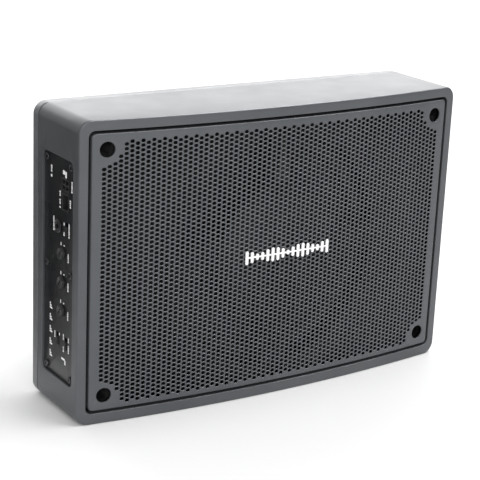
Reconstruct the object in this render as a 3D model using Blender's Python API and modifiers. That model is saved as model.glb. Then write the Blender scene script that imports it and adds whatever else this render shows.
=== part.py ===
"""Powered under-seat car subwoofer: a shallow bowed cabinet with an 8 inch driver and its own amplifier.

Axes: +X to the right seen from the grille, +Y to the back, +Z up. The origin is the middle of the
base. The grille faces -Y, and the control panel is on the -X end. All sizes are in metres.
"""

import math

import bmesh
import bpy
from mathutils import Matrix

# Cabinet
WIDTH = 0.340
HEIGHT = 0.231
DEPTH = 0.0874
BOW = 0.012
CORNER_RADIUS = 0.010
WALL = 0.003
COVER_DEPTH = 0.0107
SEAM = 0.0012
COVER_LIP = 0.002
LIP_LENGTH = 0.0035
FIT = 0.0003
LIP_CLEARANCE = 0.0004

# Grille and the recess that it sits in
BEZEL_SIDE = 0.0076
BEZEL_TOP = 0.0078
BEZEL_BOTTOM = 0.0086
RECESS_DEPTH = 0.006
RECESS_RADIUS = 0.005
GROOVE = 0.0021
GRILLE_SHEET = 0.0012
GRILLE_RADIUS = 0.0035
BAFFLE = 0.0035

# Screw wells in the four corners, which hold the screws that close the cabinet
WELL_RADIUS = 0.00585
WELL_INSET = 0.0118
WELL_WALL = 0.0027
WELL_FLOOR_Y = 0.008
WELL_FLOOR = 0.006
SHELL_SCREW_RADIUS = 0.002
SHELL_SCREW_LENGTH = 0.024
SHELL_HEAD_RADIUS = 0.0042
SHELL_HEAD = 0.0026
SCREW_CLEARANCE = 0.0004
HEAD_TOP, HEAD_SHOULDER, HEAD_SHOULDER_HEIGHT = 0.6, 0.92, 0.7
SCREW_POINT = 0.3
CROSS_LONG, CROSS_WIDE, CROSS_FLOOR = 0.55, 0.13, 0.45
COVER_BOSS_RADIUS = 0.0065

# Guard over the driver, cast in one with the baffle
OPENING_RADIUS = 0.093
GUARD_DISC_RADIUS = 0.055
GUARD_DISC_GAP = 0.0018
GUARD_DISC_WALL = 0.003
SPOKE_AT_RIM = 0.022
SPOKE_AT_DISC = 0.033
LAND_OUTER_RADIUS = 0.107
LAND_Y = -0.020
LAND_STEP = 0.001

# Mark on the grille: a row of level bars on one line
BADGE_WIDTH = 0.0815
BADGE_HEIGHT = 0.0115
BADGE_CENTRE_X = 0.00425
BADGE_CENTRE_Z = 0.1158
BADGE_SHEET = 0.0008
BADGE_SPINE = 0.0012
BADGE_BARS = 17
BADGE_BAR_SHARE = 0.56
BADGE_LOWEST = 0.34
BADGE_WAVES = 3

# Control panel, sunk in the -X end
PANEL_DEPTH = 0.0495
PANEL_HEIGHT = 0.1715
PANEL_CENTRE_Y = 0.00105
PANEL_DROP = 0.00225
PANEL_RADIUS = 0.005
PANEL_SINK = 0.002
PANEL_SHEET = 0.0015
WINDOW_FRONT = 0.0162
WINDOW_BACK = 0.0085
WINDOW_BELOW = 0.066
WINDOW_ABOVE = 0.074
PANEL_SCREW_Y = 0.0194
PANEL_SCREW_Z = 0.081
PANEL_SCREW_RADIUS = 0.0014
PANEL_SCREW_LENGTH = 0.0052
PANEL_HEAD_RADIUS = 0.0026
PANEL_HEAD = 0.0014

# Things in the panel, from its centre: along Y, then Z
POWER_Y, POWER_Z = -0.00925, 0.0656
POWER_WIDE, POWER_TALL = 0.012, 0.0095
INPUT_Y, INPUT_Z = -0.0095, 0.05285
INPUT_WIDE, INPUT_TALL = 0.0105, 0.013
SOCKET_WALL = 0.001
SOCKET_PROUD = 0.0004
POWER_POCKET = 0.009
INPUT_POCKET = 0.009
PIN_HEIGHT = 0.0045
JACK_Y, JACK_Z = 0.00105, 0.03255
JACK_BORE = 0.0019
JACK_BARREL = 0.0039
JACK_NUT = 0.005
JACK_NUT_HEIGHT = 0.0016
JACK_POCKET = 0.009
KNOB_Y = -0.0052
KNOB_HIGHEST_Z = 0.01335
KNOB_PITCH = 0.02225
KNOB_RADIUS = 0.0043
KNOB_HEIGHT = 0.0024
KNOB_SLOT = 0.0011
KNOB_SLOT_DEPTH = 0.0008
KNOB_SLOT_ANGLE = 40
KNOB_UNDER_SLOT = 0.0006
KNOB_EDGE_ACROSS, KNOB_EDGE_SIDE, KNOB_EDGE_DOWN = 0.0006, 0.0002, 0.0004
SHAFT_RADIUS = 0.003
SHAFT_IN_BODY = 0.004
POT_SIDE = 0.0096
KNOBS = ("level", "crossover", "boost")
SWITCHES = (("phase", -0.01175, 0.03305), ("filter", 0.00175, -0.0553), ("input", -0.01185, -0.0556))
SWITCH_WIDE = 0.0036
SWITCH_TALL = 0.0092
SLIDER_TALL = 0.0056
SWITCH_TRAVEL = 0.0026
SLIDER_PROUD = 0.0013
SLIDER_GAP = 0.0004
SWITCH_BODY_WIDE = 0.0066
SWITCH_BODY_TALL = 0.0132
SWITCH_POCKET = 0.004
SLIDER_GROOVE = 0.0007
SLIDER_GROOVE_DEPTH = 0.0006

# Amplifier
BOARD_SHEET = 0.0016
BOARD_SPACE = 0.0112
BOARD_FRONT_Y = -0.0205
BOARD_BACK_Y = 0.022
BOARD_TALL = 0.156
BOARD_RADIUS = 0.002
CONTROL_BODY_SINK = 0.0032
SINK_WIDE = 0.032
SINK_OUT = 0.025
SINK_TOP_Z = -0.026
SINK_PLATE = 0.004
SINK_FIN_HEIGHT = 0.024
SINK_FIN = 0.0016
SINK_FINS = 6
TRANSISTOR_LONG, TRANSISTOR_WIDE, TRANSISTOR_THICK = 0.015, 0.010, 0.0045
TRANSISTOR_LEGS = 0.0055
TRANSISTOR_Y = 0.008
CAPACITOR_RADIUS = 0.0078
CAPACITOR_LONG = 0.025
CAPACITOR_Y = 0.0094
CAPACITOR_Z = 0.022
CAPACITOR_TOP, CAPACITOR_EDGE = 0.88, 0.12
CAPACITOR_WAIST = 0.92
CAPACITOR_WAIST_HIGH, CAPACITOR_WAIST_MIDDLE, CAPACITOR_WAIST_LOW = 0.7, 0.55, 0.4
INDUCTOR_RADIUS = 0.0095
INDUCTOR_WIRE = 0.0045
INDUCTOR_Z = 0.055
INDUCTOR_SIDES = 8

# Driver, turned about its own axis. Radius first, then Y.
FLANGE_RADIUS = 0.103
FLANGE_Y = -0.0168
BASKET_SHEET = 0.002
BASKET_SHOULDER = (0.087, -0.007)
LEDGE_Y = 0.005
LEDGE_OUTER, LEDGE_INNER = 0.067, 0.059
BASKET_BASE_RADIUS = 0.050
BASKET_BASE_Y = 0.0125
BASKET_HOLE = 0.0278
BASKET_WINDOWS = 6
BASKET_WINDOW_INNER, BASKET_WINDOW_OUTER = 0.0685, 0.0845
BASKET_WINDOW_ANGLE = 22
GASKET = 0.0016
GASKET_INNER = 0.0956
DRIVER_SCREW_CIRCLE = 0.0993
DRIVER_SCREW_RADIUS = 0.0019
DRIVER_SCREW_LENGTH = 0.0125
DRIVER_HEAD_RADIUS = 0.0034
DRIVER_HEAD = 0.0022
DRIVER_SCREWS = 4
ROLL_INNER, ROLL_OUTER = 0.0806, 0.091
ROLL_HEIGHT = 0.0065
ROLL_SHEET = 0.0008
ROLL_FOOT = 0.0952
ROLL_Y = -0.0189
CONE_NECK = (0.0259, -0.0025)
CONE_EDGE = (0.0796, -0.0179)
CONE_SHEET = 0.001
CAP_RADIUS = 0.033
CAP_RISE = 0.009
CAP_EDGE_Y = -0.0059
CAP_SHEET = 0.0008
POLE_RADIUS = 0.0242
POLE_TIP_Y = 0.0135
RUNNING_GAP = 0.0007
FORMER_SHEET = 0.0005
FORMER_FRONT_Y, FORMER_BACK_Y = -0.005, 0.0255
WINDING_SHEET = 0.0009
WINDING_LONG = 0.014
TOP_PLATE = 0.005
TOP_PLATE_RADIUS = 0.046
MAGNET = 0.012
MAGNET_INNER, MAGNET_RADIUS = 0.031, 0.050
YOKE_PLATE = 0.005
YOKE_RADIUS = 0.048
SPIDER_Y = 0.0034
SPIDER_SHEET = 0.0006
SPIDER_FOOT = 0.065
SPIDER_WAVES = 2
SPIDER_WAVE_HEIGHT = 0.0011
TERMINAL_INNER_X, TERMINAL_LONG = -0.078, 0.012
TERMINAL_FRONT_Y, TERMINAL_DEEP = 0.0006, 0.006
TERMINAL_TALL = 0.016
TAB_LONG, TAB_TALL, TAB_SHEET = 0.006, 0.0048, 0.0008
TAB_SPACING = 0.0045
LEAD_RADIUS = 0.0011
LEAD_STRAIGHT = 0.18
LEAD_SLACK_BACK, LEAD_SLACK_DOWN = 0.16, 0.08

# Fineness
BOW_STEPS = 16
CORNER_STEPS = 4
TURN_STEPS = 30
KNOB_STEPS = 20
SMALL_STEPS = 14
SCREW_STEPS = 10
SHARP_ANGLE = math.radians(35)
BAR_STEPS = 3
ROLL_STEPS = 5
DOME_STEPS = 3
SPIDER_SAMPLES = 3
LEAD_SAMPLES = 4
MARGIN = 0.020
MERGE = 0.000005

# Places worked out from the sizes above
HALF_WIDTH = WIDTH / 2
FRONT_Y = -DEPTH / 2
BACK_Y = DEPTH / 2
SEAM_Y = BACK_Y - COVER_DEPTH
AXIS_Z = HEIGHT / 2
RECESS_HALF = HALF_WIDTH - BEZEL_SIDE
RECESS_LOW = BEZEL_BOTTOM
RECESS_HIGH = HEIGHT - BEZEL_TOP
GRILLE_HALF = RECESS_HALF - GROOVE
GRILLE_LOW = RECESS_LOW + GROOVE
GRILLE_HIGH = RECESS_HIGH - GROOVE
WELL_X = GRILLE_HALF - WELL_INSET
WELLS = tuple(
    (side * WELL_X, z)
    for z in (GRILLE_LOW + WELL_INSET, GRILLE_HIGH - WELL_INSET)
    for side in (-1, 1)
)
WELL_END_Y = WELL_FLOOR_Y + WELL_FLOOR
PANEL_X = -HALF_WIDTH + PANEL_SINK
PANEL_CENTRE_Z = AXIS_Z - PANEL_DROP
LEDGE_X = PANEL_X + PANEL_SHEET + FIT
BOARD_X = PANEL_X + PANEL_SHEET + BOARD_SPACE
BOARD_INNER_X = BOARD_X + BOARD_SHEET
TOP_PLATE_Y = BASKET_BASE_Y + BASKET_SHEET / 2 + FIT
MAGNET_Y = TOP_PLATE_Y + TOP_PLATE + FIT
YOKE_Y = MAGNET_Y + MAGNET + FIT
FORMER_RADIUS = POLE_RADIUS + RUNNING_GAP
WINDING_RADIUS = FORMER_RADIUS + FORMER_SHEET + FIT
GAP_RADIUS = WINDING_RADIUS + WINDING_SHEET + RUNNING_GAP

FINISHES = {
    "cast": ((0.085, 0.090, 0.097), 0.45, 0.0),
    "grille": ((0.080, 0.085, 0.092), 0.42, 0.6),
    "mark": ((0.90, 0.90, 0.90), 0.40, 0.0),
    "panel": ((0.015, 0.015, 0.016), 0.28, 0.0),
    "black": ((0.020, 0.020, 0.021), 0.50, 0.0),
    "knob": ((0.30, 0.31, 0.32), 0.40, 0.0),
    "steel": ((0.55, 0.56, 0.58), 0.35, 1.0),
    "dark_screw": ((0.06, 0.06, 0.065), 0.35, 1.0),
    "aluminium": ((0.70, 0.71, 0.72), 0.35, 1.0),
    "rubber": ((0.018, 0.018, 0.018), 0.70, 0.0),
    "paper": ((0.030, 0.030, 0.033), 0.60, 0.0),
    "board": ((0.020, 0.110, 0.050), 0.45, 0.0),
    "ferrite": ((0.050, 0.050, 0.052), 0.60, 0.0),
    "copper": ((0.72, 0.34, 0.18), 0.35, 1.0),
    "cloth": ((0.55, 0.42, 0.22), 0.85, 0.0),
    "red": ((0.50, 0.03, 0.03), 0.50, 0.0),
}


def clear_scene():
    """Remove every object that the file opened with."""
    for obj in list(bpy.data.objects):
        bpy.data.objects.remove(obj)


def new_collection(name):
    """A collection under the scene's own."""
    collection = bpy.data.collections.new(name)
    bpy.context.scene.collection.children.link(collection)
    return collection


clear_scene()
PARTS = new_collection("powered_subwoofer")
CUTTERS = new_collection("cutters")
TO_BACK = (math.radians(-90), 0, 0)
TO_LEFT = (0, math.radians(-90), 0)
TO_RIGHT = (0, math.radians(90), 0)
PLANES = {
    "XY": Matrix.Identity(3),
    "XZ": Matrix(((1, 0, 0), (0, 0, -1), (0, 1, 0))),
    "YZ": Matrix(((0, 0, 1), (1, 0, 0), (0, 1, 0))),
}


def dress(obj, finish):
    """Give an object its own material with the finish's colour, roughness and metallic value."""
    colour, roughness, metallic = FINISHES[finish]
    material = bpy.data.materials.new(f"{obj.name}_{finish}")
    material.use_nodes = True
    shader = material.node_tree.nodes["Principled BSDF"]
    shader.inputs["Base Color"].default_value = (*colour, 1)
    shader.inputs["Roughness"].default_value = roughness
    shader.inputs["Metallic"].default_value = metallic
    obj.data.materials.append(material)


def add(name, mesh, finish):
    """Put a mesh in the scene: a part with a finish, or a hidden cutter where the finish is None."""
    obj = bpy.data.objects.new(name, mesh)
    if finish is None:
        CUTTERS.objects.link(obj)
        obj.hide_render = True
        obj.display_type = "WIRE"
        return obj
    PARTS.objects.link(obj)
    dress(obj, finish)
    return obj


def boolean(target, others, operation="DIFFERENCE", solver="EXACT"):
    """Cut the others from the target, join them to it, or keep what they share."""
    for other in others:
        modifier = target.modifiers.new(f"{operation.lower()}_{other.name}", "BOOLEAN")
        modifier.operation = operation
        modifier.solver = solver
        modifier.object = other
    return target


def box(name, low, high, finish=None):
    """A box between two corners, with its origin at its middle."""
    mesh = bpy.data.meshes.new(name)
    shape = bmesh.new()
    bmesh.ops.create_cube(shape, size=1)
    bmesh.ops.scale(shape, vec=[b - a for a, b in zip(low, high)], verts=shape.verts)
    shape.to_mesh(mesh)
    shape.free()
    obj = add(name, mesh, finish)
    obj.location = [(a + b) / 2 for a, b in zip(low, high)]
    return obj


def turned(name, profile, closed, location, rotation, finish=None, steps=TURN_STEPS):
    """A profile of (radius, height) turned about the object's own Z, which the rotation lays down.

    The profile runs down its outer side. A closed one makes a ring, an open one ends on the axis.
    """
    mesh = bpy.data.meshes.new(name)
    count = len(profile)
    edges = [(i, i + 1) for i in range(count - 1)]
    if closed:
        edges.append((count - 1, 0))
    mesh.from_pydata([(r, 0, h) for r, h in profile], edges, [])
    obj = add(name, mesh, finish)
    obj.location = location
    obj.rotation_euler = rotation
    screw = obj.modifiers.new("turn", "SCREW")
    screw.steps = steps
    screw.render_steps = steps
    screw.use_merge_vertices = True
    screw.merge_threshold = MERGE
    return obj


def ring_profile(inner, outer, low, high):
    """The closed profile of a square-edged ring."""
    return [(inner, high), (outer, high), (outer, low), (inner, low)]


def band_profile(line, sheet):
    """A closed profile that follows a line of (radius, height) with a sheet's thickness."""
    sides = ([], [])
    for i, (r, h) in enumerate(line):
        before = line[max(i - 1, 0)]
        after = line[min(i + 1, len(line) - 1)]
        run = math.hypot(after[0] - before[0], after[1] - before[1])
        normal = ((before[1] - after[1]) / run, (after[0] - before[0]) / run)
        for side, sign in zip(sides, (1, -1)):
            side.append((r + sign * normal[0] * sheet / 2, h + sign * normal[1] * sheet / 2))
    loop = sides[0] + sides[1][::-1]
    area = sum(a[0] * b[1] - b[0] * a[1] for a, b in zip(loop, loop[1:] + loop[:1]))
    return loop if area < 0 else loop[::-1]


def solid_outline(name, points, low, high, plane, finish=None):
    """A closed flat outline in one plane, made solid between two places on the third axis."""
    curve = bpy.data.curves.new(name, "CURVE")
    curve.dimensions = "2D"
    curve.fill_mode = "BOTH"
    curve.extrude = (high - low) / 2
    spline = curve.splines.new("POLY")
    spline.points.add(len(points) - 1)
    for point, (u, v) in zip(spline.points, points):
        point.co = (u, v, 0, 1)
    spline.use_cyclic_u = True
    normal = PLANES[plane].col[2]
    middle = (low + high) / 2 * (1 if sum(normal) > 0 else -1)
    place = Matrix.Translation(normal * middle) @ PLANES[plane].to_4x4()
    return meshed(name, curve, place, finish)


def meshed(name, curve, place, finish):
    """A curve as a closed mesh object at the place given, its caps joined to its sides."""
    guide = bpy.data.objects.new(f"{name}_curve", curve)
    CUTTERS.objects.link(guide)
    guide.matrix_world = place
    graph = bpy.context.evaluated_depsgraph_get()
    mesh = bpy.data.meshes.new_from_object(guide.evaluated_get(graph))
    mesh.name = name
    shape = bmesh.new()
    shape.from_mesh(mesh)
    bmesh.ops.remove_doubles(shape, verts=shape.verts, dist=MERGE)
    bmesh.ops.recalc_face_normals(shape, faces=shape.faces)
    shape.to_mesh(mesh)
    shape.free()
    obj = add(name, mesh, finish)
    obj.matrix_world = place
    bpy.data.objects.remove(guide)
    return obj


def tube(name, points, radius, finish):
    """A round wire through the points, with closed ends."""
    curve = bpy.data.curves.new(name, "CURVE")
    curve.dimensions = "3D"
    curve.bevel_depth = radius
    curve.bevel_resolution = 2
    curve.use_fill_caps = True
    spline = curve.splines.new("POLY")
    spline.points.add(len(points) - 1)
    for point, place in zip(spline.points, points):
        point.co = (*place, 1)
    return meshed(name, curve, Matrix.Identity(4), finish)


def rounded(left, right, low, high, radius):
    """The outline of a rectangle with round corners."""
    points = []
    centres = ((right - radius, high - radius), (left + radius, high - radius))
    centres += ((left + radius, low + radius), (right - radius, low + radius))
    for quarter, (u, v) in enumerate(centres):
        for step in range(CORNER_STEPS + 1):
            angle = math.radians(90) * (quarter + step / CORNER_STEPS)
            points.append((u + radius * math.cos(angle), v + radius * math.sin(angle)))
    return points


def prism(name, half, low, high, radius, front, back, finish=None):
    """A block with round corners seen from the front, straight along Y."""
    return solid_outline(name, rounded(-half, half, low, high, radius), front, back, "XZ", finish)


def bow_y(x):
    """How far forward the bowed front stands at a place on X: an arc in X that is straight in Z."""
    bow_radius = (HALF_WIDTH**2 + BOW**2) / (2 * BOW)
    return FRONT_Y + bow_radius - math.sqrt(bow_radius**2 - x * x)


def bow_line(gap):
    """The bowed front, left to right, moved back by a gap."""
    reach = HALF_WIDTH + MARGIN / 4
    xs = [reach * (2 * i / BOW_STEPS - 1) for i in range(BOW_STEPS + 1)]
    return [(x, bow_y(x) + gap) for x in xs]


def flat_line(y):
    """A straight line across the cabinet, left to right, as far as the bowed one."""
    reach = HALF_WIDTH + MARGIN / 4
    return [(-reach, y), (reach, y)]


def bowed_block(name, front, back):
    """A hidden block between two lines across the cabinet, taller than it."""
    return solid_outline(name, front + back[::-1], -MARGIN, HEIGHT + MARGIN, "XY")


def behind_bow(name, gap):
    """A hidden block that holds everything more than a gap behind the bowed front."""
    return bowed_block(name, bow_line(gap), flat_line(BACK_Y + MARGIN))


def pin_cutter(name, x, z, radius, front, back, steps=SMALL_STEPS):
    """A hidden cylinder along Y."""
    profile = [(0, back), (radius, back), (radius, front), (0, front)]
    return turned(name, profile, False, (x, 0, z), TO_BACK, None, steps)


def sector(name, inner, outer, edges_inner, edges_outer, front, back):
    """A hidden piece of a ring about the driver's axis, with its two edges given at both radii."""
    points = []
    for radius, (start, end) in ((outer, edges_outer), (inner, edges_inner[::-1])):
        for step in range(2 * CORNER_STEPS + 1):
            angle = start + (end - start) * step / (2 * CORNER_STEPS)
            points.append((radius * math.cos(angle), AXIS_Z + radius * math.sin(angle)))
    return solid_outline(name, points, front, back, "XZ")


def make_front_housing():
    """The cast front: bezel, baffle, driver guard, screw wells and the pocket for the panel."""
    housing = prism("front_housing", HALF_WIDTH, 0, HEIGHT, CORNER_RADIUS, FRONT_Y - MARGIN, SEAM_Y, "cast")
    boolean(housing, [behind_bow("housing_bow", 0)], "INTERSECT")

    inner_radius = CORNER_RADIUS - WALL
    cavity = prism(
        "housing_cavity", HALF_WIDTH - WALL, WALL, HEIGHT - WALL, inner_radius, FRONT_Y, SEAM_Y + MARGIN
    )
    boolean(cavity, [behind_bow("cavity_bow", RECESS_DEPTH + BAFFLE)], "INTERSECT")
    recess = prism(
        "grille_recess", RECESS_HALF, RECESS_LOW, RECESS_HIGH, RECESS_RADIUS, FRONT_Y - MARGIN, 0
    )
    ahead = bowed_block("recess_bow", flat_line(FRONT_Y - 2 * MARGIN), bow_line(RECESS_DEPTH))
    boolean(recess, [ahead], "INTERSECT")
    boolean(housing, [cavity, recess])

    inside_baffle = behind_bow("inside_baffle", RECESS_DEPTH + BAFFLE / 2)
    land_profile = ring_profile(OPENING_RADIUS + LAND_STEP, LAND_OUTER_RADIUS, FRONT_Y, LAND_Y)
    land = turned("driver_land", land_profile, True, (0, 0, AXIS_Z), TO_BACK)
    boolean(land, [inside_baffle], "INTERSECT")
    boolean(housing, [land], "UNION")

    for number, (x, z) in enumerate(WELLS, 1):
        boss_front = bow_y(x) + RECESS_DEPTH + BAFFLE / 2
        boss = pin_cutter(f"well_boss_{number}", x, z, WELL_RADIUS + WELL_WALL, boss_front, WELL_END_Y)
        boolean(housing, [boss], "UNION")

    rim_angle = math.asin(SPOKE_AT_RIM / 2 / OPENING_RADIUS)
    disc_angle = math.asin(SPOKE_AT_DISC / 2 / GUARD_DISC_RADIUS)
    for quarter in range(4):
        start = math.radians(90) * quarter
        end = start + math.radians(90)
        window = sector(
            f"guard_window_{quarter + 1}",
            GUARD_DISC_RADIUS,
            OPENING_RADIUS,
            (start + disc_angle, end - disc_angle),
            (start + rim_angle, end - rim_angle),
            FRONT_Y - MARGIN,
            LAND_Y + MARGIN / 4,
        )
        boolean(housing, [window])
    disc_back = FRONT_Y + RECESS_DEPTH + BAFFLE
    disc = pin_cutter("guard_disc", 0, AXIS_Z, GUARD_DISC_RADIUS + FIT, FRONT_Y, disc_back, TURN_STEPS)
    boolean(disc, [behind_bow("disc_bow", GUARD_DISC_GAP)], "INTERSECT")
    hollow_front = FRONT_Y + GUARD_DISC_GAP + GUARD_DISC_WALL
    hollow_radius = GUARD_DISC_RADIUS - GUARD_DISC_WALL
    hollow = pin_cutter("disc_hollow", 0, AXIS_Z, hollow_radius, hollow_front, LAND_Y, TURN_STEPS)
    boolean(housing, [disc], "UNION")
    boolean(housing, [hollow])

    for number, (x, z) in enumerate(WELLS, 1):
        bore = pin_cutter(f"well_bore_{number}", x, z, WELL_RADIUS, FRONT_Y - MARGIN, WELL_FLOOR_Y)
        hole_radius = SHELL_SCREW_RADIUS + SCREW_CLEARANCE
        hole = pin_cutter(f"well_hole_{number}", x, z, hole_radius, FRONT_Y, BACK_Y)
        boolean(housing, [bore, hole], solver="MANIFOLD")

    for number in range(DRIVER_SCREWS):
        x, z = driver_screw_place(number)
        hole_radius = DRIVER_SCREW_RADIUS + SCREW_CLEARANCE
        tip = driver_screw_tip() - FIT
        hole = pin_cutter(f"land_hole_{number + 1}", x, z, hole_radius, tip, LAND_Y + WALL)
        boolean(housing, [hole], solver="MANIFOLD")

    front, back = PANEL_CENTRE_Y - PANEL_DEPTH / 2, PANEL_CENTRE_Y + PANEL_DEPTH / 2
    low, high = PANEL_CENTRE_Z - PANEL_HEIGHT / 2, PANEL_CENTRE_Z + PANEL_HEIGHT / 2
    pocket = box(
        "panel_pocket",
        (-HALF_WIDTH + WALL / 2, front - WALL / 2, low - WALL),
        (LEDGE_X + WALL, back + WALL, high + WALL),
    )
    boolean(housing, [pocket], "UNION", "MANIFOLD")
    sunk = rounded(front, back, low, high, PANEL_RADIUS)
    window = rounded(
        PANEL_CENTRE_Y - WINDOW_FRONT,
        PANEL_CENTRE_Y + WINDOW_BACK,
        PANEL_CENTRE_Z - WINDOW_BELOW,
        PANEL_CENTRE_Z + WINDOW_ABOVE,
        PANEL_RADIUS / 2,
    )
    outside = -HALF_WIDTH - MARGIN
    cutters = [
        solid_outline("panel_recess", sunk, outside, LEDGE_X, "YZ"),
        solid_outline("panel_window", window, outside, LEDGE_X + 2 * WALL, "YZ"),
    ]
    cutters += panel_screw_cutters("housing", LEDGE_X + 2 * WALL)
    return boolean(housing, cutters, solver="MANIFOLD")


def make_rear_cover():
    """The shallow back shell, its lip inside the housing, and a boss for each closing screw."""
    front = SEAM_Y + SEAM
    cover = prism("rear_cover", HALF_WIDTH, 0, HEIGHT, CORNER_RADIUS, front, BACK_Y, "cast")
    inset = WALL + LIP_CLEARANCE
    lip_front = SEAM_Y - LIP_LENGTH
    lip = prism(
        "cover_lip",
        HALF_WIDTH - inset,
        inset,
        HEIGHT - inset,
        CORNER_RADIUS - inset,
        lip_front,
        front + WALL / 2,
    )
    boolean(cover, [lip], "UNION", "MANIFOLD")
    inset += COVER_LIP
    hollow = prism(
        "cover_hollow",
        HALF_WIDTH - inset,
        inset,
        HEIGHT - inset,
        CORNER_RADIUS - inset,
        lip_front - MARGIN,
        BACK_Y - WALL,
    )
    boolean(cover, [hollow], solver="MANIFOLD")
    boss_front = WELL_END_Y + SCREW_CLEARANCE
    for number, (x, z) in enumerate(WELLS, 1):
        boss = pin_cutter(f"cover_boss_{number}", x, z, COVER_BOSS_RADIUS, boss_front, BACK_Y - WALL / 2)
        hole_radius = SHELL_SCREW_RADIUS + SCREW_CLEARANCE
        hole_end = WELL_FLOOR_Y + SHELL_SCREW_LENGTH + WALL / 2
        hole = pin_cutter(f"cover_hole_{number}", x, z, hole_radius, boss_front - WALL, hole_end)
        boolean(cover, [boss], "UNION", "MANIFOLD")
        boolean(cover, [hole], solver="MANIFOLD")
    return cover


def make_cover_gasket():
    """The flat sealing band in the seam between the two shells."""
    inset = FIT
    front, back = SEAM_Y + FIT, SEAM_Y + SEAM - FIT
    gasket = prism(
        "cover_gasket",
        HALF_WIDTH - inset,
        inset,
        HEIGHT - inset,
        CORNER_RADIUS - inset,
        front,
        back,
        "rubber",
    )
    inset = WALL + FIT / 2
    hole = prism(
        "gasket_hole",
        HALF_WIDTH - inset,
        inset,
        HEIGHT - inset,
        CORNER_RADIUS - inset,
        front - MARGIN,
        back + MARGIN,
    )
    return boolean(gasket, [hole])


def make_shell_screws():
    """A pan-head screw at the bottom of each corner well."""
    for number, (x, z) in enumerate(WELLS, 1):
        seat = WELL_FLOOR_Y - FIT
        make_screw(
            f"shell_screw_{number}",
            (x, seat, z),
            (math.radians(90), 0, 0),
            SHELL_HEAD_RADIUS,
            SHELL_HEAD,
            SHELL_SCREW_RADIUS,
            SHELL_SCREW_LENGTH,
            "dark_screw",
        )


def make_screw(name, seat, rotation, head_radius, head, shaft_radius, length, finish):
    """A pan-head screw with a cross recess. Its seat is at the origin, and its own +Z points out."""
    profile = [
        (0, head),
        (head_radius * HEAD_TOP, head),
        (head_radius * HEAD_SHOULDER, head * HEAD_SHOULDER_HEIGHT),
        (head_radius, 0),
        (shaft_radius, 0),
        (shaft_radius, shaft_radius - length),
        (shaft_radius * SCREW_POINT, -length),
        (0, -length),
    ]
    screw = turned(name, profile, False, seat, rotation, finish, SCREW_STEPS)
    arm, half = head_radius * CROSS_LONG, head_radius * CROSS_WIDE
    for index, (u, v) in enumerate(((arm, half), (half, arm)), 1):
        cut = box(f"{name}_recess_{index}", (-u, -v, head * CROSS_FLOOR), (u, v, head * 2))
        cut.parent = screw
        boolean(screw, [cut])
    return screw


def make_grille():
    """The bowed sheet-metal grille: a face with a folded rim, and a hole over each screw well."""
    grille = prism(
        "grille", GRILLE_HALF, GRILLE_LOW, GRILLE_HIGH, GRILLE_RADIUS, FRONT_Y - MARGIN, 0, "grille"
    )
    sheet_block = bowed_block("grille_bow", bow_line(0), bow_line(RECESS_DEPTH - FIT))
    boolean(grille, [sheet_block], "INTERSECT")
    hollow = prism(
        "grille_hollow",
        GRILLE_HALF - GRILLE_SHEET,
        GRILLE_LOW + GRILLE_SHEET,
        GRILLE_HIGH - GRILLE_SHEET,
        GRILLE_RADIUS - GRILLE_SHEET,
        FRONT_Y - MARGIN,
        MARGIN,
    )
    boolean(hollow, [behind_bow("grille_hollow_bow", GRILLE_SHEET)], "INTERSECT")
    boolean(grille, [hollow])
    for number, (x, z) in enumerate(WELLS, 1):
        boolean(grille, [pin_cutter(f"grille_hole_{number}", x, z, WELL_RADIUS, FRONT_Y - MARGIN, 0)])
    return grille


def badge_outline():
    """Level bars of changing height along one line: up and over each bar, then back below."""
    pitch = BADGE_WIDTH / BADGE_BARS
    half_bar = pitch * BADGE_BAR_SHARE / 2
    half_spine = BADGE_SPINE / 2
    top = []
    for index in range(BADGE_BARS):
        centre = (index + 0.5) * pitch - BADGE_WIDTH / 2
        wave = abs(math.cos(math.pi * BADGE_WAVES * (index + 0.5) / BADGE_BARS))
        share = BADGE_LOWEST + (1 - BADGE_LOWEST) * wave
        flat = max(BADGE_HEIGHT / 2 * share - half_bar, half_spine)
        top.append((centre - half_bar, half_spine))
        for step in range(BAR_STEPS + 1):
            angle = math.pi * (1 - step / BAR_STEPS)
            top.append((centre + half_bar * math.cos(angle), flat + half_bar * math.sin(angle)))
        top.append((centre + half_bar, half_spine))
    bottom = [(x, -z) for x, z in reversed(top)]
    return [(x + BADGE_CENTRE_X, z + BADGE_CENTRE_Z) for x, z in top + bottom]


def make_badge():
    """The mark on the grille, a thin sheet that follows the bow."""
    badge = solid_outline("grille_badge", badge_outline(), FRONT_Y - MARGIN, 0, "XZ", "mark")
    sheet = bowed_block("badge_bow", bow_line(-FIT - BADGE_SHEET), bow_line(-FIT))
    return boolean(badge, [sheet], "INTERSECT")


def on_panel(y, z, out=0):
    """A place on the panel's face, from its centre, standing out by the last value."""
    return (PANEL_X - out, PANEL_CENTRE_Y + y, PANEL_CENTRE_Z + z)


def panel_screw_places():
    """The six screws of the panel, from its centre."""
    return [(y, z) for z in (PANEL_SCREW_Z, 0, -PANEL_SCREW_Z) for y in (-PANEL_SCREW_Y, PANEL_SCREW_Y)]


def panel_screw_cutters(name, depth_x):
    """Hidden cylinders for the panel's screws, from outside in to a place on X."""
    cutters = []
    radius = PANEL_SCREW_RADIUS + FIT
    for number, (y, z) in enumerate(panel_screw_places(), 1):
        profile = [(0, MARGIN), (radius, MARGIN), (radius, PANEL_X - depth_x), (0, PANEL_X - depth_x)]
        place = on_panel(y, z)
        cutters.append(
            turned(f"{name}_screw_hole_{number}", profile, False, place, TO_LEFT, None, SMALL_STEPS)
        )
    return cutters


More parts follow.
